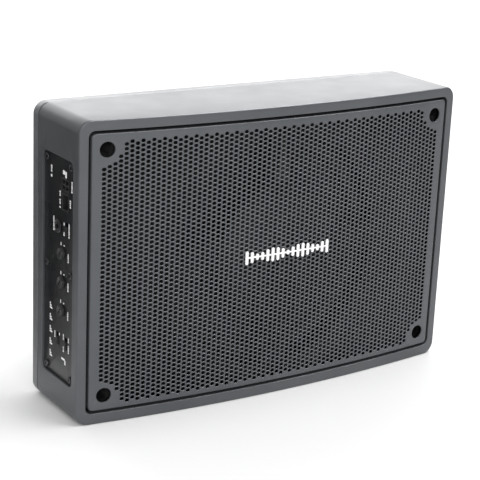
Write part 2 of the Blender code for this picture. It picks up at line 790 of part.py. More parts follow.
def panel_opening(name, y, z, wide, tall):
    """A hidden square cutter through the panel with a fit all round."""
    x, place_y, place_z = on_panel(y, z)
    low = (x - MARGIN, place_y - wide / 2 - FIT, place_z - tall / 2 - FIT)
    high = (x + PANEL_SHEET + WALL / 3, place_y + wide / 2 + FIT, place_z + tall / 2 + FIT)
    return box(name, low, high)


def round_opening(name, y, z, radius):
    """A hidden round cutter through the panel with a fit all round."""
    profile = [
        (0, MARGIN),
        (radius + FIT, MARGIN),
        (radius + FIT, -PANEL_SHEET - WALL / 3),
        (0, -PANEL_SHEET - WALL / 3),
    ]
    return turned(name, profile, False, on_panel(y, z), TO_LEFT, None, SMALL_STEPS)


def knob_places():
    """Each knob's name and its place from the panel's centre."""
    return [(name, KNOB_Y, KNOB_HIGHEST_Z - row * KNOB_PITCH) for row, name in enumerate(KNOBS)]


def make_control_panel():
    """The sheet that carries the sockets, knobs and switches."""
    front, back = PANEL_CENTRE_Y - PANEL_DEPTH / 2, PANEL_CENTRE_Y + PANEL_DEPTH / 2
    low, high = PANEL_CENTRE_Z - PANEL_HEIGHT / 2, PANEL_CENTRE_Z + PANEL_HEIGHT / 2
    outline = rounded(front + FIT, back - FIT, low + FIT, high - FIT, PANEL_RADIUS - FIT)
    panel = solid_outline("control_panel", outline, PANEL_X, PANEL_X + PANEL_SHEET, "YZ", "panel")
    boolean(panel, panel_screw_cutters("panel", PANEL_X + PANEL_SHEET + WALL / 3))
    boolean(panel, [panel_opening("power_opening", POWER_Y, POWER_Z, POWER_WIDE, POWER_TALL)])
    boolean(panel, [panel_opening("input_opening", INPUT_Y, INPUT_Z, INPUT_WIDE, INPUT_TALL)])
    boolean(panel, [round_opening("jack_opening", JACK_Y, JACK_Z, JACK_BARREL)])
    for name, y, z in knob_places():
        boolean(panel, [round_opening(f"{name}_shaft_opening", y, z, SHAFT_RADIUS)])
    for name, y, z in SWITCHES:
        boolean(panel, [panel_opening(f"{name}_switch_opening", y, z, SWITCH_WIDE, SWITCH_TALL)])
    return panel


def make_panel_screws():
    """The six small screws that hold the panel."""
    for number, (y, z) in enumerate(panel_screw_places(), 1):
        make_screw(
            f"panel_screw_{number}",
            on_panel(y, z, FIT),
            TO_LEFT,
            PANEL_HEAD_RADIUS,
            PANEL_HEAD,
            PANEL_SCREW_RADIUS,
            PANEL_SCREW_LENGTH,
            "steel",
        )


def make_socket(name, y, z, wide, tall, pocket, cells, pins):
    """A socket from just proud of the panel back to the board, its pocket cut into cells.

    cells and pins count along Y and Z. Each pin stands on the bottom of the pocket.
    """
    x, place_y, place_z = on_panel(y, z)
    mouth = x - SOCKET_PROUD
    body = box(
        name,
        (mouth, place_y - wide / 2, place_z - tall / 2),
        (BOARD_X - FIT, place_y + wide / 2, place_z + tall / 2),
        "black",
    )
    cell_wide = (wide - SOCKET_WALL * (cells[0] + 1)) / cells[0]
    cell_tall = (tall - SOCKET_WALL * (cells[1] + 1)) / cells[1]
    floor = mouth + pocket
    for column in range(cells[0]):
        for row in range(cells[1]):
            low_y = place_y - wide / 2 + SOCKET_WALL + column * (cell_wide + SOCKET_WALL)
            low_z = place_z - tall / 2 + SOCKET_WALL + row * (cell_tall + SOCKET_WALL)
            cell = box(
                f"{name}_cell_{column}_{row}",
                (mouth - MARGIN, low_y, low_z),
                (floor, low_y + cell_wide, low_z + cell_tall),
            )
            boolean(body, [cell])
    pitch_y = (wide - SOCKET_WALL) / pins[0]
    pitch_z = (tall - SOCKET_WALL) / pins[1]
    half = SOCKET_WALL / 2
    for column in range(pins[0]):
        for row in range(pins[1]):
            pin_y = place_y + (column - (pins[0] - 1) / 2) * pitch_y
            pin_z = place_z + (row - (pins[1] - 1) / 2) * pitch_z
            pin = box(
                f"{name}_pin_{column}_{row}",
                (floor - PIN_HEIGHT, pin_y - half, pin_z - half),
                (floor + SOCKET_WALL, pin_y + half, pin_z + half),
            )
            boolean(body, [pin], "UNION")
    return body


def make_remote_jack():
    """The round jack: a barrel through the panel with a nut in front of it and a blind bore."""
    back = PANEL_X - BOARD_X + FIT
    nut_top = FIT + JACK_NUT_HEIGHT
    profile = [
        (0, -JACK_POCKET),
        (JACK_BORE, -JACK_POCKET),
        (JACK_BORE, nut_top - FIT),
        (JACK_BORE + FIT, nut_top),
        (JACK_BARREL, nut_top),
        (JACK_NUT, nut_top - FIT),
        (JACK_NUT, FIT),
        (JACK_BARREL, FIT),
        (JACK_BARREL, back),
        (0, back),
    ]
    return turned("remote_jack", profile, False, on_panel(JACK_Y, JACK_Z), TO_LEFT, "steel", SMALL_STEPS)


def make_knob(name, y, z):
    """A slotted knob on its shaft, and the control body behind the panel that the shaft turns in."""
    place = on_panel(y, z)
    bottom = SCREW_CLEARANCE
    top = bottom + KNOB_HEIGHT
    bore = top - KNOB_SLOT_DEPTH - KNOB_UNDER_SLOT
    profile = [
        (0, top),
        (KNOB_RADIUS - KNOB_EDGE_ACROSS, top),
        (KNOB_RADIUS - KNOB_EDGE_SIDE, top - KNOB_EDGE_DOWN),
        (KNOB_RADIUS, bottom),
        (SHAFT_RADIUS + FIT, bottom),
        (SHAFT_RADIUS + FIT, bore),
        (0, bore),
    ]
    knob = turned(f"{name}_knob", profile, False, place, TO_LEFT, "knob", KNOB_STEPS)
    slot = box(
        f"{name}_slot",
        (-KNOB_RADIUS * 2, -KNOB_SLOT / 2, top - KNOB_SLOT_DEPTH),
        (KNOB_RADIUS * 2, KNOB_SLOT / 2, top + MARGIN),
    )
    slot.parent = knob
    slot.rotation_euler = (0, 0, math.radians(KNOB_SLOT_ANGLE))
    boolean(knob, [slot])

    body_front = -CONTROL_BODY_SINK - PANEL_SHEET
    shaft_end = body_front - SHAFT_IN_BODY
    shaft_top = bore - FIT
    shaft_profile = [(0, shaft_top), (SHAFT_RADIUS, shaft_top), (SHAFT_RADIUS, shaft_end), (0, shaft_end)]
    turned(f"{name}_shaft", shaft_profile, False, place, TO_LEFT, "steel", KNOB_STEPS)

    half = POT_SIDE / 2
    body = box(
        f"{name}_potentiometer",
        (PANEL_X - body_front, place[1] - half, place[2] - half),
        (BOARD_X - FIT, place[1] + half, place[2] + half),
        "black",
    )
    hole_profile = [
        (0, 0),
        (SHAFT_RADIUS + FIT, 0),
        (SHAFT_RADIUS + FIT, shaft_end - FIT),
        (0, shaft_end - FIT),
    ]
    boolean(body, [turned(f"{name}_body_hole", hole_profile, False, place, TO_LEFT, None, KNOB_STEPS)])


def make_switch(name, y, z):
    """A slide switch: its body behind the panel, and the slider at the low end of its travel."""
    x, place_y, place_z = on_panel(y, z)
    front = x + PANEL_SHEET + CONTROL_BODY_SINK
    half_wide, half_tall = SWITCH_BODY_WIDE / 2, SWITCH_BODY_TALL / 2
    body = box(
        f"{name}_switch_body",
        (front, place_y - half_wide, place_z - half_tall),
        (BOARD_X - FIT, place_y + half_wide, place_z + half_tall),
        "black",
    )
    half_wide, half_tall = SWITCH_WIDE / 2, SWITCH_TALL / 2
    pocket = box(
        f"{name}_switch_pocket",
        (front - WALL, place_y - half_wide, place_z - half_tall),
        (front + SWITCH_POCKET, place_y + half_wide, place_z + half_tall),
    )
    boolean(body, [pocket])
    half_wide -= SLIDER_GAP
    low = place_z - (SLIDER_TALL + SWITCH_TRAVEL) / 2
    slider = box(
        f"{name}_switch_slider",
        (x - SLIDER_PROUD, place_y - half_wide, low),
        (front + SWITCH_POCKET - FIT, place_y + half_wide, low + SLIDER_TALL),
        "steel",
    )
    groove_floor = x - SLIDER_PROUD + SLIDER_GROOVE_DEPTH
    for row in (-1, 0, 1):
        middle = low + SLIDER_TALL / 2 + row * SLIDER_GROOVE * 2
        cut = box(
            f"{name}_slider_groove_{row + 2}",
            (x - SLIDER_PROUD - WALL, place_y - half_wide - WALL, middle - SLIDER_GROOVE / 2),
            (groove_floor, place_y + half_wide + WALL, middle + SLIDER_GROOVE / 2),
        )
        boolean(slider, [cut])
    return slider


def make_amplifier():
    """The board behind the panel and the parts on its inner side."""
    half_tall = BOARD_TALL / 2
    outline = rounded(
        BOARD_FRONT_Y, BOARD_BACK_Y, PANEL_CENTRE_Z - half_tall, PANEL_CENTRE_Z + half_tall, BOARD_RADIUS
    )
    solid_outline("amplifier_board", outline, BOARD_X, BOARD_INNER_X, "YZ", "board")

    top = PANEL_CENTRE_Z + SINK_TOP_Z
    centre = (BOARD_FRONT_Y + BOARD_BACK_Y) / 2
    comb = [(centre + SINK_WIDE / 2, top), (centre - SINK_WIDE / 2, top)]
    pitch = (SINK_WIDE - SINK_FIN) / (SINK_FINS - 1)
    for fin in range(SINK_FINS):
        left = centre - SINK_WIDE / 2 + fin * pitch
        if fin:
            comb.append((left, top - SINK_PLATE))
        comb.append((left, top - SINK_PLATE - SINK_FIN_HEIGHT))
        comb.append((left + SINK_FIN, top - SINK_PLATE - SINK_FIN_HEIGHT))
        if fin < SINK_FINS - 1:
            comb.append((left + SINK_FIN, top - SINK_PLATE))
    start = BOARD_INNER_X + FIT
    solid_outline("heat_sink", comb, start, start + SINK_OUT, "YZ", "aluminium")

    for number, side in enumerate((-1, 1), 1):
        y = centre + side * TRANSISTOR_Y
        low_x = start + TRANSISTOR_LEGS
        low_z = top + FIT
        package = box(
            f"transistor_{number}",
            (low_x, y - TRANSISTOR_WIDE / 2, low_z),
            (low_x + TRANSISTOR_LONG, y + TRANSISTOR_WIDE / 2, low_z + TRANSISTOR_THICK),
            "black",
        )
        for leg in (-1, 0, 1):
            leg_y = y + leg * TRANSISTOR_WIDE / 4
            middle = low_z + TRANSISTOR_THICK / 2
            pin = box(
                f"transistor_{number}_leg_{leg + 2}",
                (start, leg_y - SOCKET_WALL / 2, middle - SOCKET_WALL / 3),
                (low_x + SOCKET_WALL, leg_y + SOCKET_WALL / 2, middle + SOCKET_WALL / 3),
            )
            boolean(package, [pin], "UNION")

        place = (start, centre + side * CAPACITOR_Y, PANEL_CENTRE_Z + CAPACITOR_Z)
        r, height = CAPACITOR_RADIUS, CAPACITOR_LONG
        profile = [
            (0, height),
            (r * CAPACITOR_TOP, height),
            (r, height - r * CAPACITOR_EDGE),
            (r, r * CAPACITOR_WAIST_HIGH),
            (r * CAPACITOR_WAIST, r * CAPACITOR_WAIST_MIDDLE),
            (r, r * CAPACITOR_WAIST_LOW),
            (r, 0),
            (0, 0),
        ]
        turned(f"capacitor_{number}", profile, False, place, TO_RIGHT, "black", KNOB_STEPS)

    wire = [
        (
            INDUCTOR_RADIUS + INDUCTOR_WIRE * math.cos(angle),
            INDUCTOR_WIRE * math.sin(angle),
        )
        for angle in (-2 * math.pi / INDUCTOR_SIDES * step for step in range(INDUCTOR_SIDES))
    ]
    place = (start + INDUCTOR_WIRE, centre, PANEL_CENTRE_Z + INDUCTOR_Z)
    turned("inductor", wire, True, place, TO_LEFT, "copper", KNOB_STEPS)


def driver_screw_place(number):
    """X and Z of one of the driver's four screws."""
    angle = math.radians(360 / DRIVER_SCREWS * (number + 0.5))
    return DRIVER_SCREW_CIRCLE * math.cos(angle), AXIS_Z + DRIVER_SCREW_CIRCLE * math.sin(angle)


def driver_screw_tip():
    """Where the driver's screws end, in front of their seat behind the flange."""
    return FLANGE_Y + BASKET_SHEET / 2 + FIT - DRIVER_SCREW_LENGTH


def driver_screw_cutters(name):
    """Hidden cylinders for the driver's screws, through the flange and its gasket."""
    radius = DRIVER_SCREW_RADIUS + FIT
    return [
        pin_cutter(f"{name}_hole_{number + 1}", *driver_screw_place(number), radius, FRONT_Y, 0)
        for number in range(DRIVER_SCREWS)
    ]


def make_driver_frame():
    """The pressed basket with its windows, its gasket, its terminal and its four screws."""
    centre = (0, 0, AXIS_Z)
    line = [
        (FLANGE_RADIUS, FLANGE_Y),
        (ROLL_OUTER + BASKET_SHEET / 4, FLANGE_Y),
        BASKET_SHOULDER,
        (LEDGE_OUTER, LEDGE_Y),
        (LEDGE_INNER, LEDGE_Y),
        (BASKET_BASE_RADIUS, BASKET_BASE_Y),
        (BASKET_HOLE, BASKET_BASE_Y),
    ]
    basket = turned("driver_basket", band_profile(line, BASKET_SHEET), True, centre, TO_BACK, "dark_screw")
    half = math.radians(BASKET_WINDOW_ANGLE)
    for number in range(BASKET_WINDOWS):
        middle = 2 * math.pi * number / BASKET_WINDOWS
        if number == BASKET_WINDOWS // 2:
            continue
        edges = (middle - half, middle + half)
        window = sector(
            f"basket_window_{number}",
            BASKET_WINDOW_INNER,
            BASKET_WINDOW_OUTER,
            edges,
            edges,
            FLANGE_Y + BASKET_SHEET,
            BACK_Y,
        )
        boolean(basket, [window])
    boolean(basket, driver_screw_cutters("flange"))

    high = FLANGE_Y - BASKET_SHEET / 2 - FIT
    profile = ring_profile(GASKET_INNER, FLANGE_RADIUS, high - GASKET, high)
    gasket = turned("driver_gasket", profile, True, centre, TO_BACK, "rubber")
    boolean(gasket, driver_screw_cutters("gasket"))

    for number in range(DRIVER_SCREWS):
        x, z = driver_screw_place(number)
        seat = FLANGE_Y + BASKET_SHEET / 2 + FIT
        make_screw(
            f"driver_screw_{number + 1}",
            (x, seat, z),
            TO_BACK,
            DRIVER_HEAD_RADIUS,
            DRIVER_HEAD,
            DRIVER_SCREW_RADIUS,
            DRIVER_SCREW_LENGTH,
            "steel",
        )

    outer_x = TERMINAL_INNER_X - TERMINAL_LONG
    terminal = box(
        "driver_terminal",
        (outer_x, TERMINAL_FRONT_Y, AXIS_Z - TERMINAL_TALL / 2),
        (TERMINAL_INNER_X, TERMINAL_FRONT_Y + TERMINAL_DEEP, AXIS_Z + TERMINAL_TALL / 2),
        "black",
    )
    middle_y = TERMINAL_FRONT_Y + TERMINAL_DEEP / 2
    for side in (-1, 1):
        z = AXIS_Z + side * TAB_SPACING
        tab = box(
            f"terminal_tab_{side + 2}",
            (outer_x - TAB_LONG, middle_y - TAB_SHEET / 2, z - TAB_TALL / 2),
            (outer_x + TAB_LONG / 2, middle_y + TAB_SHEET / 2, z + TAB_TALL / 2),
        )
        boolean(terminal, [tab], "UNION")


def make_moving_parts():
    """The cone, its cap, the coil on its former, and the two soft rings that carry them."""
    centre = (0, 0, AXIS_Z)
    cone_line = [CONE_NECK, CONE_EDGE]
    turned("cone", band_profile(cone_line, CONE_SHEET), True, centre, TO_BACK, "paper")

    half = CAP_SHEET / 2
    dome = []
    for step in range(DOME_STEPS + 1):
        r = CAP_RADIUS * step / DOME_STEPS
        dome.append((r, CAP_EDGE_Y - CAP_RISE * (1 - (r / CAP_RADIUS) ** 2)))
    profile = [(r, y + half) for r, y in dome] + [(r, y - half) for r, y in reversed(dome)]
    turned("dust_cap", profile, False, centre, TO_BACK, "paper")

    former_outer = FORMER_RADIUS + FORMER_SHEET
    former = ring_profile(FORMER_RADIUS, former_outer, FORMER_FRONT_Y, FORMER_BACK_Y)
    turned("coil_former", former, True, centre, TO_BACK, "aluminium")
    middle = TOP_PLATE_Y + TOP_PLATE / 2
    winding = ring_profile(
        WINDING_RADIUS,
        WINDING_RADIUS + WINDING_SHEET,
        middle - WINDING_LONG / 2,
        middle + WINDING_LONG / 2,
    )
    turned("voice_coil", winding, True, centre, TO_BACK, "copper")

    roll_middle = (ROLL_INNER + ROLL_OUTER) / 2
    roll_half = (ROLL_OUTER - ROLL_INNER) / 2
    roll = [
        (
            roll_middle - roll_half * math.cos(math.pi * step / ROLL_STEPS),
            ROLL_Y - ROLL_HEIGHT * math.sin(math.pi * step / ROLL_STEPS),
        )
        for step in range(ROLL_STEPS + 1)
    ]
    roll.append((ROLL_FOOT, ROLL_Y))
    turned("surround", band_profile(roll, ROLL_SHEET), True, centre, TO_BACK, "rubber")

    inner = former_outer + SPIDER_SHEET
    samples = SPIDER_SAMPLES * SPIDER_WAVES
    line = [(SPIDER_FOOT, SPIDER_Y), (LEDGE_INNER, SPIDER_Y)]
    wave_start = LEDGE_INNER - SPIDER_WAVE_HEIGHT
    for step in range(samples + 1):
        r = wave_start + (inner + SPIDER_WAVE_HEIGHT - wave_start) * step / samples
        wave = math.sin(2 * math.pi * SPIDER_WAVES * step / samples)
        line.append((r, SPIDER_Y + SPIDER_WAVE_HEIGHT * wave))
    line.append((inner, SPIDER_Y))
    turned("spider", band_profile(line, SPIDER_SHEET), True, centre, TO_BACK, "cloth")


def make_motor():
    """The driver's magnet between its top plate and the yoke with the pole."""
    centre = (0, 0, AXIS_Z)
    plate = ring_profile(GAP_RADIUS, TOP_PLATE_RADIUS, TOP_PLATE_Y, TOP_PLATE_Y + TOP_PLATE)
    turned("top_plate", plate, True, centre, TO_BACK, "steel")
    magnet = ring_profile(MAGNET_INNER, MAGNET_RADIUS, MAGNET_Y, MAGNET_Y + MAGNET)
    turned("magnet", magnet, True, centre, TO_BACK, "ferrite")
    back = YOKE_Y + YOKE_PLATE
    yoke = [
        (0, back),
        (YOKE_RADIUS, back),
        (YOKE_RADIUS, YOKE_Y),
        (POLE_RADIUS, YOKE_Y),
        (POLE_RADIUS, POLE_TIP_Y),
        (0, POLE_TIP_Y),
    ]
    turned("pole_yoke", yoke, False, centre, TO_BACK, "steel")


def smooth_route(points, per_span):
    """A Catmull-Rom curve through a few chosen points, sampled evenly between them."""
    ends = [points[0]] + list(points) + [points[-1]]
    route = []
    for a, b, c, d in zip(ends, ends[1:], ends[2:], ends[3:]):
        for step in range(per_span):
            t = step / per_span
            route.append(
                tuple(
                    0.5
                    * (
                        2 * q
                        + (r - p) * t
                        + (2 * p - 5 * q + 4 * r - s) * t**2
                        + (3 * q - p - 3 * r + s) * t**3
                    )
                    for p, q, r, s in zip(a, b, c, d)
                )
            )
    route.append(tuple(points[-1]))
    return route


def make_leads():
    """The two leads from the board to the driver's terminal, in a slack bend between them."""
    start_x = BOARD_INNER_X + FIT
    end_x = TERMINAL_INNER_X - TERMINAL_LONG - TAB_LONG - FIT
    end_y = TERMINAL_FRONT_Y + TERMINAL_DEEP / 2
    span = end_x - start_x
    for side, name, finish in ((1, "positive", "red"), (-1, "negative", "black")):
        z = AXIS_Z + side * TAB_SPACING
        stops = [
            (start_x, end_y, z),
            (start_x + LEAD_STRAIGHT * span, end_y, z),
            (start_x + span / 2, end_y + LEAD_SLACK_BACK * span, z - LEAD_SLACK_DOWN * span),
            (end_x - LEAD_STRAIGHT * span, end_y, z),
            (end_x, end_y, z),
        ]
        tube(f"speaker_lead_{name}", smooth_route(stops, LEAD_SAMPLES), LEAD_RADIUS, finish)


def shade_round():
    """Smooth shading on every part, with sharp edges kept sharp."""
    for obj in PARTS.objects:
        obj.data.shade_smooth()
        obj.data.set_sharp_from_angle(angle=SHARP_ANGLE)


def main():
    """Build every part of the subwoofer."""
    make_front_housing()
    make_rear_cover()
    make_cover_gasket()
    make_shell_screws()
    make_grille()
    make_badge()
    make_control_panel()
    make_panel_screws()
    make_socket("power_connector", POWER_Y, POWER_Z, POWER_WIDE, POWER_TALL, POWER_POCKET, (2, 2), (2, 2))
    make_socket("input_connector", INPUT_Y, INPUT_Z, INPUT_WIDE, INPUT_TALL, INPUT_POCKET, (1, 1), (2, 4))
    make_remote_jack()
    for name, y, z in knob_places():
        make_knob(name, y, z)
    for name, y, z in SWITCHES:
        make_switch(name, y, z)
    make_amplifier()
    make_driver_frame()
    make_moving_parts()
    make_motor()
    make_leads()
    shade_round()


main()
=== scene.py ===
"""Looks of a powered under-seat car subwoofer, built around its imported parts.

Axes: +X to the right seen from the grille, +Y to the back, +Z up, in metres. The grille faces -Y and
the control panel is on the -X end. Every outer surface is worked out here as a function of two
parameters, or as a profile carried along an outline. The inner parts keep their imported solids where
those are the right shape.
"""

import logging
import math
from collections.abc import Callable, Sequence
from dataclasses import dataclass, field
from enum import Enum

import bmesh
import bpy
import numpy as np
from mathutils import Matrix, Vector


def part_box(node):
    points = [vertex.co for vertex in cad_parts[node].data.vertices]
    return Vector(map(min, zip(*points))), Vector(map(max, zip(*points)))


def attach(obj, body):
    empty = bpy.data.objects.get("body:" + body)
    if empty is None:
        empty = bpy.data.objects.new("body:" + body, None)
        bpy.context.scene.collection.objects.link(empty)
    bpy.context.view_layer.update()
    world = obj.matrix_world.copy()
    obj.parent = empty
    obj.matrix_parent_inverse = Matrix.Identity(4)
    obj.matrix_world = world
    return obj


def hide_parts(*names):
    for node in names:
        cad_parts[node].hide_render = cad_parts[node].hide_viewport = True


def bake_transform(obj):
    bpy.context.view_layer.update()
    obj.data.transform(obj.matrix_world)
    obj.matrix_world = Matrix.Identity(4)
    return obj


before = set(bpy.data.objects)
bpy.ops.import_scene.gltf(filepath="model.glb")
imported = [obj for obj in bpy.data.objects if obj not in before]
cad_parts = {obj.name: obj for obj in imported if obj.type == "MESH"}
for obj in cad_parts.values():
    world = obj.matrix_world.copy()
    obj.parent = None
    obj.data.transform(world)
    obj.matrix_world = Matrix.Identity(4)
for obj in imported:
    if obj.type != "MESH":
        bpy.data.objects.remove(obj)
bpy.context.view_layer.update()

logging.basicConfig(level=logging.INFO, format="%(message)s")
LOG = logging.getLogger("subwoofer")

Points = np.ndarray
Faces = np.ndarray
Surface = tuple[Points, list[Faces]]

MM = 0.001
MERGE = 0.000002
QUARTER = math.pi / 2

BROAD_TONE = 14.0
WEAR_PATCHES = 160.0
DUST_PATCHES = 60.0
RUBBED_FROM, RUBBED_TO = 0.515, 0.60
FIBRES = (300, 900, 500)
THREADS = 420.0
WIRE_TURNS = 900.0
TRACKS = 260.0
BUMP_HEIGHT = 0.0002
TRACK_COLOUR = (0.20, 0.32, 0.12, 1)
DUST_COLOUR = (0.42, 0.41, 0.39, 1)


# ---------------------------------------------------------------- finishes


class Pattern(Enum):
    """What the surface of a finish is made of."""

    GRAIN = "grain"
    BRUSHED = "brushed"
    PAPER = "paper"
    WEAVE = "weave"
    BOARD = "board"
    WOUND = "wound"


class Nodes:
    """A short hand for wiring nodes in one tree."""

    def __init__(self, tree: bpy.types.NodeTree) -> None:
        """Keep the tree that the nodes go in."""
        self.tree = tree

    def add(self, kind: str, values: dict | None = None, **options: object) -> bpy.types.Node:
        """Add a node.

        Args:
            kind: the node's type.
            values: input name or number to a constant, or to the socket that feeds it.
            options: properties of the node itself.

        Returns:
            The new node.
        """
        node = self.tree.nodes.new(kind)
        for name, value in options.items():
            setattr(node, name, value)
        for name, value in (values or {}).items():
            if isinstance(value, bpy.types.NodeSocket):
                self.tree.links.new(value, node.inputs[name])
            else:
                node.inputs[name].default_value = value
        return node

    def maths(self, operation: str, *values: object) -> bpy.types.NodeSocket:
        """The result of one arithmetic step on up to three values."""
        return self.add("ShaderNodeMath", dict(enumerate(values)), operation=operation).outputs[0]

    def mix(self, factor: object, first: object, second: object) -> bpy.types.NodeSocket:
        """Two colours mixed by a factor."""
        node = self.add("ShaderNodeMix", {0: factor, 6: first, 7: second}, data_type="RGBA")
        return node.outputs[2]

    def steps(self, value: object, low: float, high: float) -> bpy.types.NodeSocket:
        """A value turned into a mask that is 0 at low and 1 at high, smooth between them.

        Args:
            value: the value.
            low: where the mask starts to rise.
            high: where it is full.

        Returns:
            The mask.
        """
        node = self.add(
            "ShaderNodeMapRange", {0: value, 1: low, 2: high}, interpolation_type="SMOOTHSTEP"
        )
        return node.outputs[0]

    def noise(self, vector: object, scale: object, detail: float = 3.0) -> bpy.types.NodeSocket:
        """Fractal noise from 0 to 1 at a place."""
        values = {"Vector": vector, "Scale": scale, "Detail": detail}
        return self.add("ShaderNodeTexNoise", values).outputs[0]


def new_group(name: str, inputs: dict[str, float], outputs: dict[str, str]) -> tuple[Nodes, dict, dict]:
    """An empty shader group with named sockets.

    Args:
        name: the group's name.
        inputs: each float input and its first value.
        outputs: each output and its socket type.

    Returns:
        The wiring helper, the input sockets by name and the output sockets by name.
    """
    tree = bpy.data.node_groups.new(name, "ShaderNodeTree")
    for label, value in inputs.items():
        socket = tree.interface.new_socket(label, in_out="INPUT", socket_type="NodeSocketFloat")
        socket.default_value = value
    for label, kind in outputs.items():
        tree.interface.new_socket(label, in_out="OUTPUT", socket_type=kind)
    nodes = Nodes(tree)
    source = nodes.add("NodeGroupInput").outputs
    result = nodes.add("NodeGroupOutput").inputs
    return nodes, {label: source[label] for label in inputs}, {label: result[label] for label in outputs}


def grain_group() -> bpy.types.NodeTree:
    """Fine moulded or powder-coated grain: rounded pips over a broad unevenness.

    Height is a fine noise plus half of a cell pattern at 1.7 times its scale. Tone is a broad noise
    that moves colour and roughness slowly across the piece.

    Returns:
        The group, with outputs Height and Tone.
    """
    values = "NodeSocketFloat"
    nodes, given, out = new_group("fine_grain", {"Scale": 900.0}, {"Height": values, "Tone": values})
    place = nodes.add("ShaderNodeTexCoord").outputs["Object"]
    fine = nodes.noise(place, given["Scale"])
    cells = nodes.add(
        "ShaderNodeTexVoronoi",
        {"Vector": place, "Scale": nodes.maths("MULTIPLY", given["Scale"], 1.7)},
        feature="SMOOTH_F1",
    ).outputs[0]
    height = nodes.maths("MULTIPLY_ADD", cells, 0.5, fine)
    broad = nodes.noise(place, BROAD_TONE, 4.0)
    nodes.tree.links.new(height, out["Height"])
    nodes.tree.links.new(nodes.steps(broad, 0.3, 0.7), out["Tone"])
    return nodes.tree


def wear_group() -> bpy.types.NodeTree:
    """A mask that is 1 where a convex edge has been rubbed, broken up by noise.

    Returns:
        The group, with output Mask.
    """
    values = "NodeSocketFloat"
    nodes, given, out = new_group("edge_wear", {"Amount": 0.3}, {"Mask": values})
    sharpness = nodes.add("ShaderNodeNewGeometry").outputs["Pointiness"]
    edge = nodes.steps(sharpness, RUBBED_FROM, RUBBED_TO)
    place = nodes.add("ShaderNodeTexCoord").outputs["Object"]
    broken = nodes.steps(nodes.noise(place, WEAR_PATCHES, 5.0), 0.35, 0.75)
    rubbed = nodes.maths("MULTIPLY", edge, broken)
    nodes.tree.links.new(nodes.maths("MULTIPLY", rubbed, given["Amount"]), out["Mask"])
    return nodes.tree


def dust_group() -> bpy.types.NodeTree:
    """A thin uneven dust mask, thicker on faces that look up.

    Returns:
        The group, with output Mask.
    """
    values = "NodeSocketFloat"
    nodes, given, out = new_group("settled_dust", {"Amount": 0.05}, {"Mask": values})
    normal = nodes.add("ShaderNodeNewGeometry").outputs["Normal"]
    upward = nodes.add("ShaderNodeSeparateXYZ", {0: normal}).outputs[2]
    place = nodes.add("ShaderNodeTexCoord").outputs["Object"]
    patches = nodes.steps(nodes.noise(place, DUST_PATCHES, 6.0), 0.25, 0.8)
    facing = nodes.maths("MULTIPLY_ADD", nodes.steps(upward, 0.2, 0.95), 0.7, 0.3)
    mask = nodes.maths("MULTIPLY", nodes.maths("MULTIPLY", facing, patches), given["Amount"])
    nodes.tree.links.new(mask, out["Mask"])
    return nodes.tree


def lines_group() -> bpy.types.NodeTree:
    """Fine scratches drawn out along one axis: noise on coordinates squeezed by the stretch.

    Returns:
        The group, with output Height.
    """
    values = "NodeSocketFloat"
    nodes, given, out = new_group(
        "drawn_lines", {"Along X": 1.0, "Along Y": 1.0, "Along Z": 1.0}, {"Height": values}
    )
    place = nodes.add("ShaderNodeTexCoord").outputs["Object"]
    squeeze = nodes.add("ShaderNodeCombineXYZ", dict(enumerate(given.values()))).outputs[0]
    drawn = nodes.add("ShaderNodeMapping", {"Vector": place, "Scale": squeeze}).outputs[0]
    nodes.tree.links.new(nodes.noise(drawn, 1.0, 2.0), out["Height"])
    return nodes.tree


class Effects:
    """The shared shader groups, each made once."""

    def __init__(self) -> None:
        """Build every group."""
        self.grain = grain_group()
        self.wear = wear_group()
        self.dust = dust_group()
        self.lines = lines_group()


EFFECTS = Effects()


